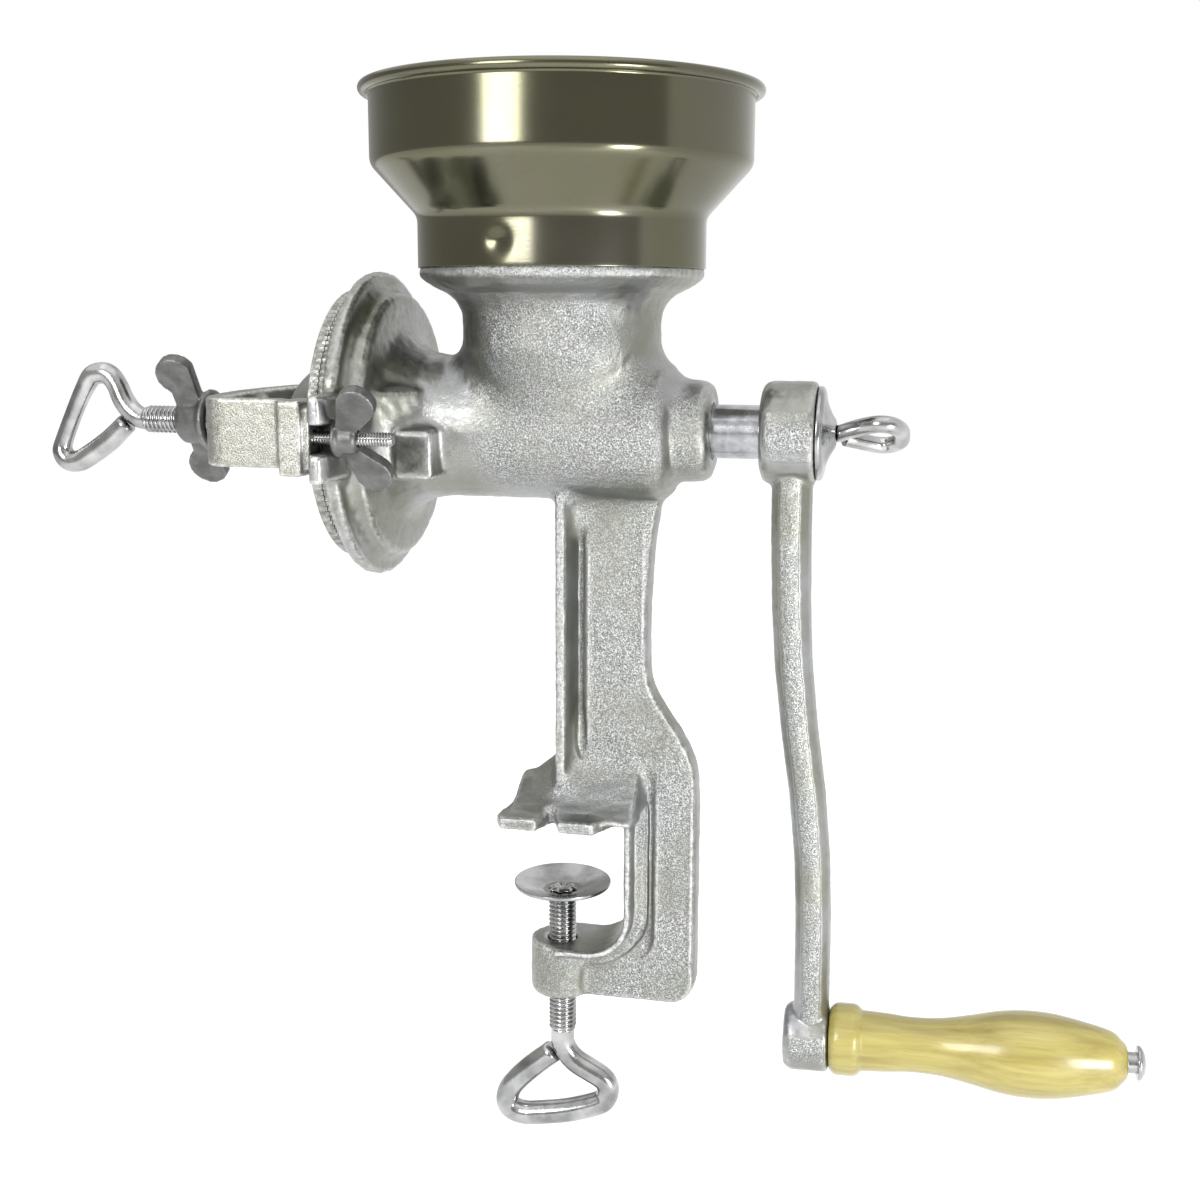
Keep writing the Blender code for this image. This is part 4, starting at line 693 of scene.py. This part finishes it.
def blend(tree, factor, first, second):
    made = node(tree, 'ShaderNodeMix', {0: factor, 6: first, 7: second}, data_type='RGBA')
    return made.outputs[2]


def blend_vectors(tree, factor, first, second):
    made = node(tree, 'ShaderNodeMix', {0: factor, 4: first, 5: second}, data_type='VECTOR')
    return made.outputs[1]


def maths(tree, operation, first, second=0.0, clamp=False):
    made = node(tree, 'ShaderNodeMath', {0: first, 1: second}, operation=operation, use_clamp=clamp)
    return made.outputs[0]


def times(tree, first, second, clamp=False):
    return maths(tree, 'MULTIPLY', first, second, clamp)


def part_of(tree, vector, axis):
    return node(tree, 'ShaderNodeSeparateXYZ', {0: vector}).outputs[axis]


def begin(name, metallic, roughness):
    """New material, its node tree, its shader and the place on the piece in metres."""
    made = bpy.data.materials.new(name)
    made.use_nodes = True
    tree = made.node_tree
    shader = tree.nodes["Principled BSDF"]
    shader.inputs['Metallic'].default_value = metallic
    shader.inputs['Roughness'].default_value = roughness
    where = tree.nodes.new('ShaderNodeTexCoord').outputs['Object']
    return made, tree, shader, where


def connect(tree, shader, **outputs):
    for key, value in outputs.items():
        tree.links.new(value, shader.inputs[key.replace('_', ' ')])


def tinned_casting(name, colours=CAST_COLOURS, depth=SAND_DEPTH, sand_from=SAND_FROM_X,
                   broad_stops=CAST_BROAD):
    """Tin over a sand-cast skin: sandy on the broad sides, smooth between, with painted highlight on the
    edges and painted shade in the pits and creases.

    The sand begins at a place along X.
    """
    low, mid, high = colours
    made, tree, shader, where = begin(name, 1.0, 0.4)
    grain = noise(tree, where, GRAIN_SCALE)
    coarse = noise(tree, where, COARSE_SCALE, 3, 0.5)
    patches = noise(tree, where, PATCH_SCALE, 3, 0.5)
    normal = node(tree, 'ShaderNodeTexCoord').outputs['Normal']
    facing = part_of(tree, normal, 1)
    along = part_of(tree, where, 0)
    broad = ramp(tree, maths(tree, 'ABSOLUTE', facing), broad_stops)
    uneven = ramp(tree, patches, CAST_PATCHES)
    start = times(tree, maths(tree, 'SUBTRACT', along, sand_from), 1 / SAND_FADE, True)
    sandy = times(tree, times(tree, broad, uneven), ramp(tree, start, SAND_START))
    height = maths(tree, 'ADD', grain, times(tree, coarse, COARSE_SHARE))
    skin_normal = bump(tree, times(tree, height, sandy), depth, 1.0)
    skin_normal = bump(tree, coarse, depth * SOFT_SHARE, SOFT_STRENGTH, skin_normal)
    smooth_colour = ramp(tree, patches, CAST_SMOOTH_COLOURS)
    # Painted shade and sparkle: the sand is coloured darker in the pits of its grain and lighter on its
    # tops
    sand_shade_and_sparkle = ramp(tree, grain, list(zip(SAND_SHADE_TO_SPARKLE, (low, mid, high))))
    colour = blend(tree, times(tree, sandy, SAND_COLOUR_SHARE), smooth_colour, sand_shade_and_sparkle)
    edges = node(tree, 'ShaderNodeNewGeometry').outputs['Pointiness']
    # Painted highlight: the casting's convex edges take the bright colour, in patches
    bright_edges = times(tree, ramp(tree, edges, CAST_EDGE_HIGHLIGHT), ramp(tree, coarse, CAST_EDGE_HIGHLIGHT_PATCHES))
    colour = blend(tree, bright_edges, colour, high)
    # Painted shade: sharp inner corners and creases take the dark colour
    colour = blend(tree, ramp(tree, edges, CAST_CREASE_SHADE), colour, low)
    connect(tree, shader, Base_Color=colour, Roughness=ramp(tree, coarse, CAST_ROUGH), Normal=skin_normal)
    return made


def turned_casting():
    """Casting whose shaft beyond the barrel is turned bright steel."""
    made = tinned_casting("turned_casting")
    tree = made.node_tree
    shader = tree.nodes["Principled BSDF"]
    where = tree.nodes.new('ShaderNodeTexCoord').outputs['Object']
    machined = maths(tree, 'GREATER_THAN', part_of(tree, where, 0), SHAFT_FROM_X)
    stains = noise(tree, where, STAIN_SCALE, 4)
    colour, rough, normal = [shader.inputs[key].links[0].from_socket
                             for key in ('Base Color', 'Roughness', 'Normal')]
    colour = blend(tree, machined, colour, ramp(tree, stains, STEEL_COLOURS))
    rough = maths(tree, 'ADD', times(tree, rough, maths(tree, 'SUBTRACT', 1.0, machined)),
                  times(tree, machined, STEEL_ROUGHNESS))
    normal = blend_vectors(tree, machined, normal, bump(tree, stains, STEEL_DEPTH, STEEL_BUMP))
    connect(tree, shader, Base_Color=colour, Roughness=rough, Normal=normal)
    return made


def polished_tinplate():
    """Dark polished sheet with faint rings from spinning."""
    made, tree, shader, where = begin("polished_tinplate", 1.0, 0.15)
    broad = noise(tree, where, TINPLATE_SCALE, 2, 0.4)
    specks = noise(tree, where, TINPLATE_SPECK_SCALE, 2)
    colour = ramp(tree, broad, TINPLATE_COLOURS)
    colour = blend(tree, ramp(tree, specks, TINPLATE_SPECKS), colour, TINPLATE_SPECK_COLOUR)
    lines = stretched_noise(tree, where, TINPLATE_RING_STRETCH, TINPLATE_RING_SCALE, 3)
    normal = bump(tree, lines, TINPLATE_RING_DEPTH, TINPLATE_BUMP)
    normal = bump(tree, broad, TINPLATE_WAVE_DEPTH, TINPLATE_BUMP, normal)
    connect(tree, shader, Base_Color=colour, Roughness=ramp(tree, broad, TINPLATE_ROUGH), Normal=normal)
    return made


def plated_steel():
    made, tree, shader, where = begin("plated_steel", 1.0, 0.2)
    broad = noise(tree, where, PLATED_SCALE, 3, 0.5)
    fine = noise(tree, where, PLATED_FINE_SCALE)
    connect(tree, shader, Base_Color=ramp(tree, broad, PLATED_COLOURS),
            Roughness=ramp(tree, fine, PLATED_ROUGH), Normal=bump(tree, fine, PLATED_DEPTH, PLATED_BUMP))
    return made


def dull_steel():
    """Dark grey with bright metal where the edges are worn."""
    made, tree, shader, where = begin("dull_steel", 0.75, 0.42)
    broad = noise(tree, where, DULL_SCALE, 3, 0.55)
    fine = noise(tree, where, DULL_FINE_SCALE)
    edges = node(tree, 'ShaderNodeNewGeometry').outputs['Pointiness']
    bright_edges = times(tree, ramp(tree, edges, DULL_WORN), ramp(tree, broad, DULL_WORN_PATCHES))
    colour = blend(tree, bright_edges, ramp(tree, broad, DULL_COLOURS), DULL_WORN_COLOUR)
    connect(tree, shader, Base_Color=colour, Roughness=ramp(tree, fine, DULL_ROUGH),
            Normal=bump(tree, fine, DULL_DEPTH, DULL_BUMP))
    return made


def ground_iron():
    made, tree, shader, where = begin("ground_iron", 0.9, 0.4)
    coarse = noise(tree, where, IRON_SCALE, 4)
    fine = noise(tree, where, IRON_FINE_SCALE)
    normal = bump(tree, coarse, IRON_COARSE_DEPTH, IRON_BUMP)
    normal = bump(tree, fine, IRON_FINE_DEPTH, IRON_FINE_BUMP, normal)
    connect(tree, shader, Base_Color=ramp(tree, coarse, IRON_COLOURS),
            Roughness=ramp(tree, fine, IRON_ROUGH), Normal=normal)
    return made


def varnished_wood():
    """Pale turned wood under a glossy coat, with grain along the grip."""
    made, tree, shader, where = begin("varnished_wood", 0.0, 0.36)
    streaks = stretched_noise(tree, where, WOOD_STRETCH, WOOD_SCALE, 4)
    pores = stretched_noise(tree, where, WOOD_PORE_STRETCH, WOOD_PORE_SCALE, 3)
    colour = ramp(tree, streaks, WOOD_COLOURS)
    colour = blend(tree, ramp(tree, pores, WOOD_PORES), colour, WOOD_PORE_COLOUR)
    connect(tree, shader, Base_Color=colour, Normal=bump(tree, pores, WOOD_PORE_DEPTH, WOOD_BUMP))
    shader.inputs['Coat Weight'].default_value = WOOD_COAT
    shader.inputs['Coat Roughness'].default_value = WOOD_COAT_ROUGHNESS
    return made


# Pieces


def hopper_radius(along, radius, angle):
    """The sheet with a dent pressed through it into the casting's ring."""
    turn = math.remainder(angle - DIMPLE_ANGLE, 2 * math.pi) * HOPPER_COLLAR_R
    reach = (turn / DIMPLE_WIDTH) ** 2 + ((along - BARREL_AXIS_Z - DIMPLE_Z) / DIMPLE_HEIGHT) ** 2
    return radius - DIMPLE_DEPTH * math.exp(-reach)


def add_hopper(finish):
    bend = HOPPER_BEND
    outer = [
        (HOPPER_FOOT, HOPPER_COLLAR_R, SHEET / 3),
        (HOPPER_COLLAR_TOP, HOPPER_COLLAR_R, bend),
        (HOPPER_BOWL_BOTTOM, HOPPER_BOWL_R, bend),
        (HOPPER_RIM_Z - HOPPER_BEAD_R * HOPPER_BEAD_REACH, HOPPER_BOWL_R, SHEET / 2),
    ]
    bead = []
    for i in range(HOPPER_BEAD_STEPS + 1):
        a = math.radians(HOPPER_BEAD_FROM + HOPPER_BEAD_SWEEP * i / HOPPER_BEAD_STEPS)
        bead.append((HOPPER_RIM_Z + HOPPER_BEAD_R * math.sin(a),
                     HOPPER_RIM_R + HOPPER_BEAD_R * math.cos(a), 0))
    inner = [
        (HOPPER_RIM_Z, HOPPER_BOWL_R - SHEET, SHEET / 2),
        (HOPPER_BOWL_BOTTOM, HOPPER_BOWL_R - SHEET, bend),
        (HOPPER_COLLAR_TOP, HOPPER_COLLAR_R - SHEET, bend),
        (HOPPER_FOOT, HOPPER_COLLAR_R - SHEET, SHEET / 3),
    ]
    outline = [(z + BARREL_AXIS_Z, r) for z, r in rounded(outer + bead + inner)]
    walls = []
    for (z0, r0), (z1, r1) in zip(outline, outline[1:] + outline[:1]):
        pieces = max(1, round(math.hypot(z1 - z0, r1 - r0) / HOPPER_ROW))
        walls += [(z0 + (z1 - z0) * i / pieces, r0 + (r1 - r0) * i / pieces) for i in range(pieces)]
    mesh = turned("spun_hopper", walls, ROUND_FINE * 2, shape=hopper_radius)
    put("spun_hopper", mesh, finish, "bowl", ["hopper"])


def plate_radius(along, radius, angle):
    """Small teeth around the rim, deepest at the face that meets the other plate."""
    if radius < PLATE_R * TOOTH_FROM:
        return radius
    fade = max(0, 1 - along / (PLATE_THICK * TOOTH_RUN))
    return radius - PLATE_TOOTH * fade * (0.5 + 0.5 * math.cos(PLATE_TEETH * angle)) ** TOOTH_POWER


def add_plates(finish):
    """The two grinding plates with the fine teeth of their rims."""
    rows = (
        ("toothed_stationary", "stationary_plate", "mill", PLATE_MEET_X + GAP / 2, 1, PLATE_PIN_RING_R),
        ("toothed_rotating", "rotating_plate", "drive", PLATE_MEET_X - GAP / 2, -1, DRIVE_PIN_RING_R),
    )
    rim = [(PLATE_THICK * i / TOOTH_ROWS, PLATE_R, 0) for i in range(TOOTH_ROWS)]
    profile = [(0, PLATE_BORE_R, 0), *rim, (PLATE_THICK, PLATE_R, GAP), (PLATE_THICK, PLATE_BORE_R, GAP)]
    hole = [(PLATE_THICK - PIN_HOLE_DEPTH, AXIS_R), (PLATE_THICK - PIN_HOLE_DEPTH, PIN_HOLE_R),
            (PLATE_THICK + PIN_HOLE_DEPTH, PIN_HOLE_R), (PLATE_THICK + PIN_HOLE_DEPTH, AXIS_R)]
    for name, solid, body, face, side, ring_r in rows:
        mesh = turned(name, rounded(profile), PLATE_TEETH * TOOTH_POINTS, shape=plate_radius)
        base = linked(name + "_base", mesh)
        cutters = []
        for turn in (1, -1):
            cutter = linked(name + "_hole", turned(name + "_hole", hole, ROUND_SMALL // 2, False))
            cutter.location = (ring_r * turn, 0, 0)
            cut = base.modifiers.new("hole", 'BOOLEAN')
            cut.object = cutter
            cut.operation = 'DIFFERENCE'
            cutters.append(cutter)
        mesh = applied(base)
        for cutter in cutters:
            bpy.data.objects.remove(cutter)
        mesh.shade_smooth()
        mesh.set_sharp_from_angle(angle=PLATE_SHARP_ANGLE)
        upright = ALONG_X if side > 0 else Matrix.Rotation(math.pi, 4, 'Z') @ ALONG_X
        mesh.transform(Matrix.Translation((face, 0, BARREL_AXIS_Z)) @ upright)
        put(name, mesh, finish, body, [solid])


def on_axis(x, y=0.0):
    """Place at the height of the barrel's axis."""
    return Vector((x, y, BARREL_AXIS_Z))


def add_screws(finish):
    up = Vector((0, 0, 1))
    rows = [
        ("threaded_adjuster", "adjuster", "adjusting_screw",
         (on_axis(ADJUST_TIP_X), on_axis(ADJUST_NECK_X)), up,
         (ADJUST_SCREW_R, ADJUST_WIRE_R, ADJUST_LOOP_LENGTH, ADJUST_LOOP_HALF),
         THREAD_PITCH, ADJUST_LOOP_SHARES),
        ("threaded_clamp", "clamp", "clamp_screw",
         (Vector((0, 0, CLAMP_TIP_Z)), Vector((0, 0, CLAMP_NECK_Z))), Vector((1, 0, 0)),
         (CLAMP_SCREW_R, CLAMP_WIRE_R, CLAMP_LOOP_LENGTH, CLAMP_LOOP_HALF),
         THREAD_PITCH, CLAMP_LOOP_SHARES),
        ("looped_crank_screw", "crank_bolt", "crank_screw",
         (on_axis(CRANK_TIP_X), on_axis(CRANK_NECK_X)),
         Vector((0, math.sin(CRANK_SCREW_TURN), math.cos(CRANK_SCREW_TURN))),
         (CRANK_SCREW_R, CRANK_WIRE_R, CRANK_LOOP_LENGTH, CRANK_LOOP_HALF),
         CRANK_PITCH, CRANK_LOOP_SHARES),
    ]
    for side, word in ((-1, "front"), (1, "rear")):
        ends = (on_axis(STUD_TAIL_X, STUD_Y * side), on_axis(STUD_HEAD_X, STUD_Y * side))
        rows.append(("threaded_stud_" + word, "mill", word + "_stud", ends, up,
                     (STUD_R, STUD_R, 0, 0), STUD_PITCH, None))
    for name, body, solid, ends, across, sizes, pitch, shares in rows:
        sides = WIRE_SIDES if shares else STUD_SIDES
        mesh = screw_mesh(name, ends, across, sizes, pitch, shares, sides)
        put(name, mesh, finish, body, [solid])


def star(along, radius, angle):
    """The stem's end, spread by a star-shaped punch."""
    if along < PAD_TOP_Z - PAD_DISH + GAP:
        return radius
    return radius * (1 + STAKE_SPREAD * math.cos(STAKE_POINTS * angle))


def add_pad(finish):
    floor = PAD_TOP_Z - PAD_DISH
    flat, knee = PAD_R * PAD_FLAT_SHARE, PAD_R * PAD_KNEE_SHARE
    knee_z = PAD_TOP_Z - PAD_DISH * PAD_KNEE_DROP
    profile = [
        (floor, PAD_HOLE_R, PAD_HOLE_FILLET), (floor, flat, PAD_FLAT_FILLET),
        (knee_z, knee, PAD_KNEE_FILLET), (PAD_TOP_Z, PAD_R, PAD_EDGE_FILLET),
        (PAD_TOP_Z - PAD_SHEET * PAD_LIP_SHARE, PAD_R, PAD_EDGE_FILLET),
        (knee_z - PAD_SHEET, knee, PAD_KNEE_FILLET), (floor - PAD_SHEET, flat, PAD_FLAT_FILLET),
        (floor - PAD_SHEET, PAD_HOLE_R, PAD_HOLE_FILLET),
    ]
    mesh = turned("dished_pad", rounded(profile), ROUND_FINE)
    put("dished_pad", mesh, finish, "pad", ["swivel_pad"])
    top = floor + GAP + STAKE_HEIGHT
    foot, face, pit = STAKE_FILLETS
    stem = [
        (CLAMP_TIP_Z - CLAMP_SCREW_R, AXIS_R, 0), (CLAMP_TIP_Z - CLAMP_SCREW_R, STEM_R, 0),
        (floor + GAP, STEM_R, 0), (floor + GAP + STAKE_STEP, STAKE_R * STAKE_FOOT_SHARE, foot),
        (top, STAKE_R * STAKE_FACE_SHARE, face),
        (top - STAKE_HEIGHT * STAKE_PIT_DEPTH, STEM_R * STAKE_PIT_SHARE, pit),
        (top - STAKE_HEIGHT * STAKE_PIT_BOTTOM, AXIS_R, 0),
    ]
    mesh = turned("staked_stem", rounded(stem, False), ROUND_SMALL, False, star)
    made = linked("staked_stem", mesh)
    mesh.materials.append(finish)
    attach(made, "clamp")


def add_washer(finish):
    base = WASHER_BASE_X
    top = base + WASHER_RISE + WASHER_SHEET
    ease = WASHER_SHEET * WASHER_EASE
    outside = [(base + WASHER_SHEET + WASHER_RISE * a, WASHER_R * b, WASHER_SHEET)
               for a, b in WASHER_SHARES]
    inside = [(base + WASHER_RISE * a, WASHER_R * b * WASHER_INSIDE_SHARE, WASHER_SHEET)
              for a, b in reversed(WASHER_SHARES)]
    profile = [
        (base, WASHER_R, ease), (base + WASHER_SHEET, WASHER_R, ease), *outside,
        (top, WASHER_FLAT_R, ease), (top, WASHER_HOLE_R, ease / 2),
        (top - WASHER_SHEET, WASHER_HOLE_R, ease / 2), *inside, (base, WASHER_R * WASHER_FOOT_SHARE, ease),
    ]
    mesh = turned("dished_washer", rounded(profile), ROUND_FINE)
    mesh.transform(Matrix.Translation((0, 0, BARREL_AXIS_Z)) @ ALONG_X)
    put("dished_washer", mesh, finish, "drive", ["crank_washer"])


def grip_place():
    middle = Vector((GRIP_START_X, 0, BARREL_AXIS_Z - CRANK_RADIUS))
    return Matrix.Translation(middle) @ Matrix.Rotation(-GRIP_TILT, 4, 'Y') @ ALONG_X


def add_grip(finish, bolt_finish):
    edge = GRIP_RING_R * GRIP_EDGE_SHARE
    ring_end = GAP + GRIP_RING_LENGTH
    end = GAP + GRIP_LENGTH
    swell = GRIP_BELLY_R - GRIP_WAIST_R
    body = [Vector((GAP + GRIP_LENGTH * a, GRIP_WAIST_R + swell * b)) for a, b in GRIP_BODY_SHARES]
    start = Vector((ring_end + edge * GRIP_STEP_ALONG, GRIP_RING_R - edge * GRIP_STEP_DOWN))
    curve = between([start, *body, Vector((end - edge, GRIP_TAIL_R))], GRIP_SAMPLES)
    profile = [
        (GAP, GRIP_BORE_R, 0), (GAP, GRIP_RING_R - edge, edge * GRIP_RING_EASE),
        (GAP + edge, GRIP_RING_R, edge), (ring_end - edge, GRIP_RING_R, edge),
        (ring_end, GRIP_RING_R - edge, edge * GRIP_RING_EASE), *[(a, r, 0) for a, r in curve],
        (end, GRIP_TAIL_R - edge, edge * GRIP_TAIL_EASE), (end, GRIP_BORE_R, 0),
    ]
    mesh = turned("turned_grip", rounded(profile), ROUND_FINE)
    mesh.transform(grip_place())
    put("turned_grip", mesh, finish, "handle", ["grip"])

    head = [(BOLT_NECK + BOLT_HEAD_THICK * a, BOLT_HEAD_R * b, ease) for a, b, ease in BOLT_HEAD_SHAPE]
    profile = [
        (BOLT_START, BOLT_TIP_R, 0), (BOLT_START, BOLT_R, BOLT_EASE), (BOLT_NECK, BOLT_R, 0), *head,
        (BOLT_NECK + BOLT_HEAD_THICK, BOLT_TIP_R, 0),
    ]
    mesh = turned("riveted_grip_bolt", rounded(profile, False), ROUND_SMALL, False)
    mesh.transform(grip_place())
    put("riveted_grip_bolt", mesh, bolt_finish, "drive", ["grip_bolt"])


def add_castings(finishes):
    for name, solid, body, slot, cell, smoothing, zones, height, grain in CASTINGS:
        mesh = casting(name, solid, cell, smoothing, zones, height, grain)
        put(name, mesh, finishes[name], body, [solid])


# Stage


def add_camera():
    away = (CAMERA_TARGET - CAMERA_PLACE).normalized()
    right = away.cross(Vector((0, 0, 1))).normalized()
    up = right.cross(away)
    turned_right = right * math.cos(CAMERA_ROLL) + up * math.sin(CAMERA_ROLL)
    turned_up = up * math.cos(CAMERA_ROLL) - right * math.sin(CAMERA_ROLL)
    lens = bpy.data.cameras.new("camera")
    camera = linked("camera", lens)
    place = Matrix((turned_right, turned_up, -away)).transposed().to_4x4()
    place.translation = CAMERA_PLACE
    camera.matrix_world = place
    lens.sensor_width = SENSOR_WIDTH
    lens.lens = FOCAL_PIXELS / IMAGE_WIDTH * SENSOR_WIDTH
    lens.clip_start = CAMERA_CLIP
    bpy.context.scene.camera = camera


def add_lamp(name, azimuth, elevation, distance, size, radiance, aim):
    """Soft rectangle of light; azimuth 0 is in front of the piece and 90 is beyond the crank."""
    a, e = math.radians(azimuth), math.radians(elevation)
    offset = Vector((math.sin(a) * math.cos(e), -math.cos(a) * math.cos(e), math.sin(e)))
    lamp = bpy.data.lights.new(name, 'AREA')
    lamp.shape = 'RECTANGLE'
    lamp.size, lamp.size_y = size
    lamp.energy = radiance * math.pi * size[0] * size[1]
    made = linked(name, lamp)
    made.location = Vector(aim) + offset * distance
    made.rotation_euler = offset.to_track_quat('Z', 'Y').to_euler()
    made.visible_camera = False


def seen(tree):
    """1 for the rays that show a surface or a background, 0 for those that only light."""
    path = node(tree, 'ShaderNodeLightPath')
    either = maths(tree, 'MAXIMUM', path.outputs['Is Camera Ray'], path.outputs['Is Glossy Ray'])
    return maths(tree, 'MAXIMUM', either, path.outputs['Is Transmission Ray'])


def add_world():
    world = bpy.data.worlds.new("studio")
    bpy.context.scene.world = world
    world.use_nodes = True
    tree = world.node_tree
    background = tree.nodes["Background"]
    level = blend(tree, seen(tree), WORLD_LIGHT, WORLD_SEEN)
    tree.links.new(level, background.inputs['Color'])


def add_floor():
    """White floor that keeps the piece's soft shadow."""
    mesh = bpy.data.meshes.new("floor")
    reach, z = FLOOR_REACH, FLOOR_Z
    mesh.from_pydata([(-reach, -reach, z), (reach, -reach, z), (reach, reach, z), (-reach, reach, z)],
                     [], [(0, 1, 2, 3)])
    floor = linked("floor", mesh)
    made = bpy.data.materials.new("floor")
    made.use_nodes = True
    tree = made.node_tree
    shader = tree.nodes["Principled BSDF"]
    shader.inputs['Base Color'].default_value = FLOOR_COLOUR
    shader.inputs['Roughness'].default_value = FLOOR_ROUGHNESS
    shader.inputs['Emission Color'].default_value = (1, 1, 1, 1)
    tree.links.new(times(tree, seen(tree), FLOOR_GLOW), shader.inputs['Emission Strength'])
    mesh.materials.append(made)


def add_room():
    """Dim side of the studio, around the camera, which only bright metal mirrors."""
    verts = []
    for i in range(ROOM_STEPS + 1):
        a = ROOM_FROM + (ROOM_TO - ROOM_FROM) * i / ROOM_STEPS
        x, y = ROOM_R * math.sin(a), -ROOM_R * math.cos(a)
        verts += [(x, y, FLOOR_Z), (x, y, ROOM_TOP)]
    faces = [(2 * i, 2 * i + 1, 2 * i + 3, 2 * i + 2) for i in range(ROOM_STEPS)]
    mesh = bpy.data.meshes.new("room")
    mesh.from_pydata(verts, [], faces)
    room = linked("room", mesh)
    made = bpy.data.materials.new("room")
    made.use_nodes = True
    shader = made.node_tree.nodes["Principled BSDF"]
    shader.inputs['Base Color'].default_value = (0, 0, 0, 1)
    shader.inputs['Roughness'].default_value = 1.0
    shader.inputs['Emission Color'].default_value = ROOM_COLOUR
    shader.inputs['Emission Strength'].default_value = ROOM_LEVEL
    mesh.materials.append(made)
    room.visible_camera = False
    room.visible_diffuse = False
    room.visible_transmission = False
    room.visible_shadow = False


def add_stage():
    for row in LAMPS:
        add_lamp(*row)
    add_world()
    add_floor()
    add_room()
    add_camera()
    bpy.context.scene.view_settings.view_transform = 'Standard'


def dress():
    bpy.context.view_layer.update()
    cast = tinned_casting("tinned_casting")
    bright_cast = tinned_casting("bridge_casting", BRIDGE_COLOURS, SAND_DEPTH * BRIDGE_DEPTH_SHARE,
                                 SAND_EVERYWHERE, BRIDGE_BROAD)
    arm_cast = tinned_casting("crank_casting", sand_from=SAND_EVERYWHERE, broad_stops=ARM_BROAD)
    plated = plated_steel()
    dull = dull_steel()
    iron = ground_iron()
    add_castings({
        "cast_body": cast, "cast_bridge": bright_cast, "cast_crank": arm_cast,
        "cast_worm": turned_casting(),
        "forged_lock_nut": dull, "forged_front_nut": dull, "forged_rear_nut": dull,
    })
    add_hopper(polished_tinplate())
    add_screws(plated)
    add_pad(plated)
    add_washer(plated)
    add_grip(varnished_wood(), plated)
    add_plates(iron)
    for name in ("plate_pin_upper", "plate_pin_lower", "drive_pin_upper", "drive_pin_lower", "thrust_ball"):
        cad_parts[name].material_slots[0].material = plated
    add_stage()


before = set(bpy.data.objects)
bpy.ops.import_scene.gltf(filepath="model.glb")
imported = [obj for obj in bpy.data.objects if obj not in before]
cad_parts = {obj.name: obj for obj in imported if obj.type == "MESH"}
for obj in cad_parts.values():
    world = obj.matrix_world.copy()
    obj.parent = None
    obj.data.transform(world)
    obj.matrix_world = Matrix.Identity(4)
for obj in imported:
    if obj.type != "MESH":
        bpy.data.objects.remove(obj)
dress()
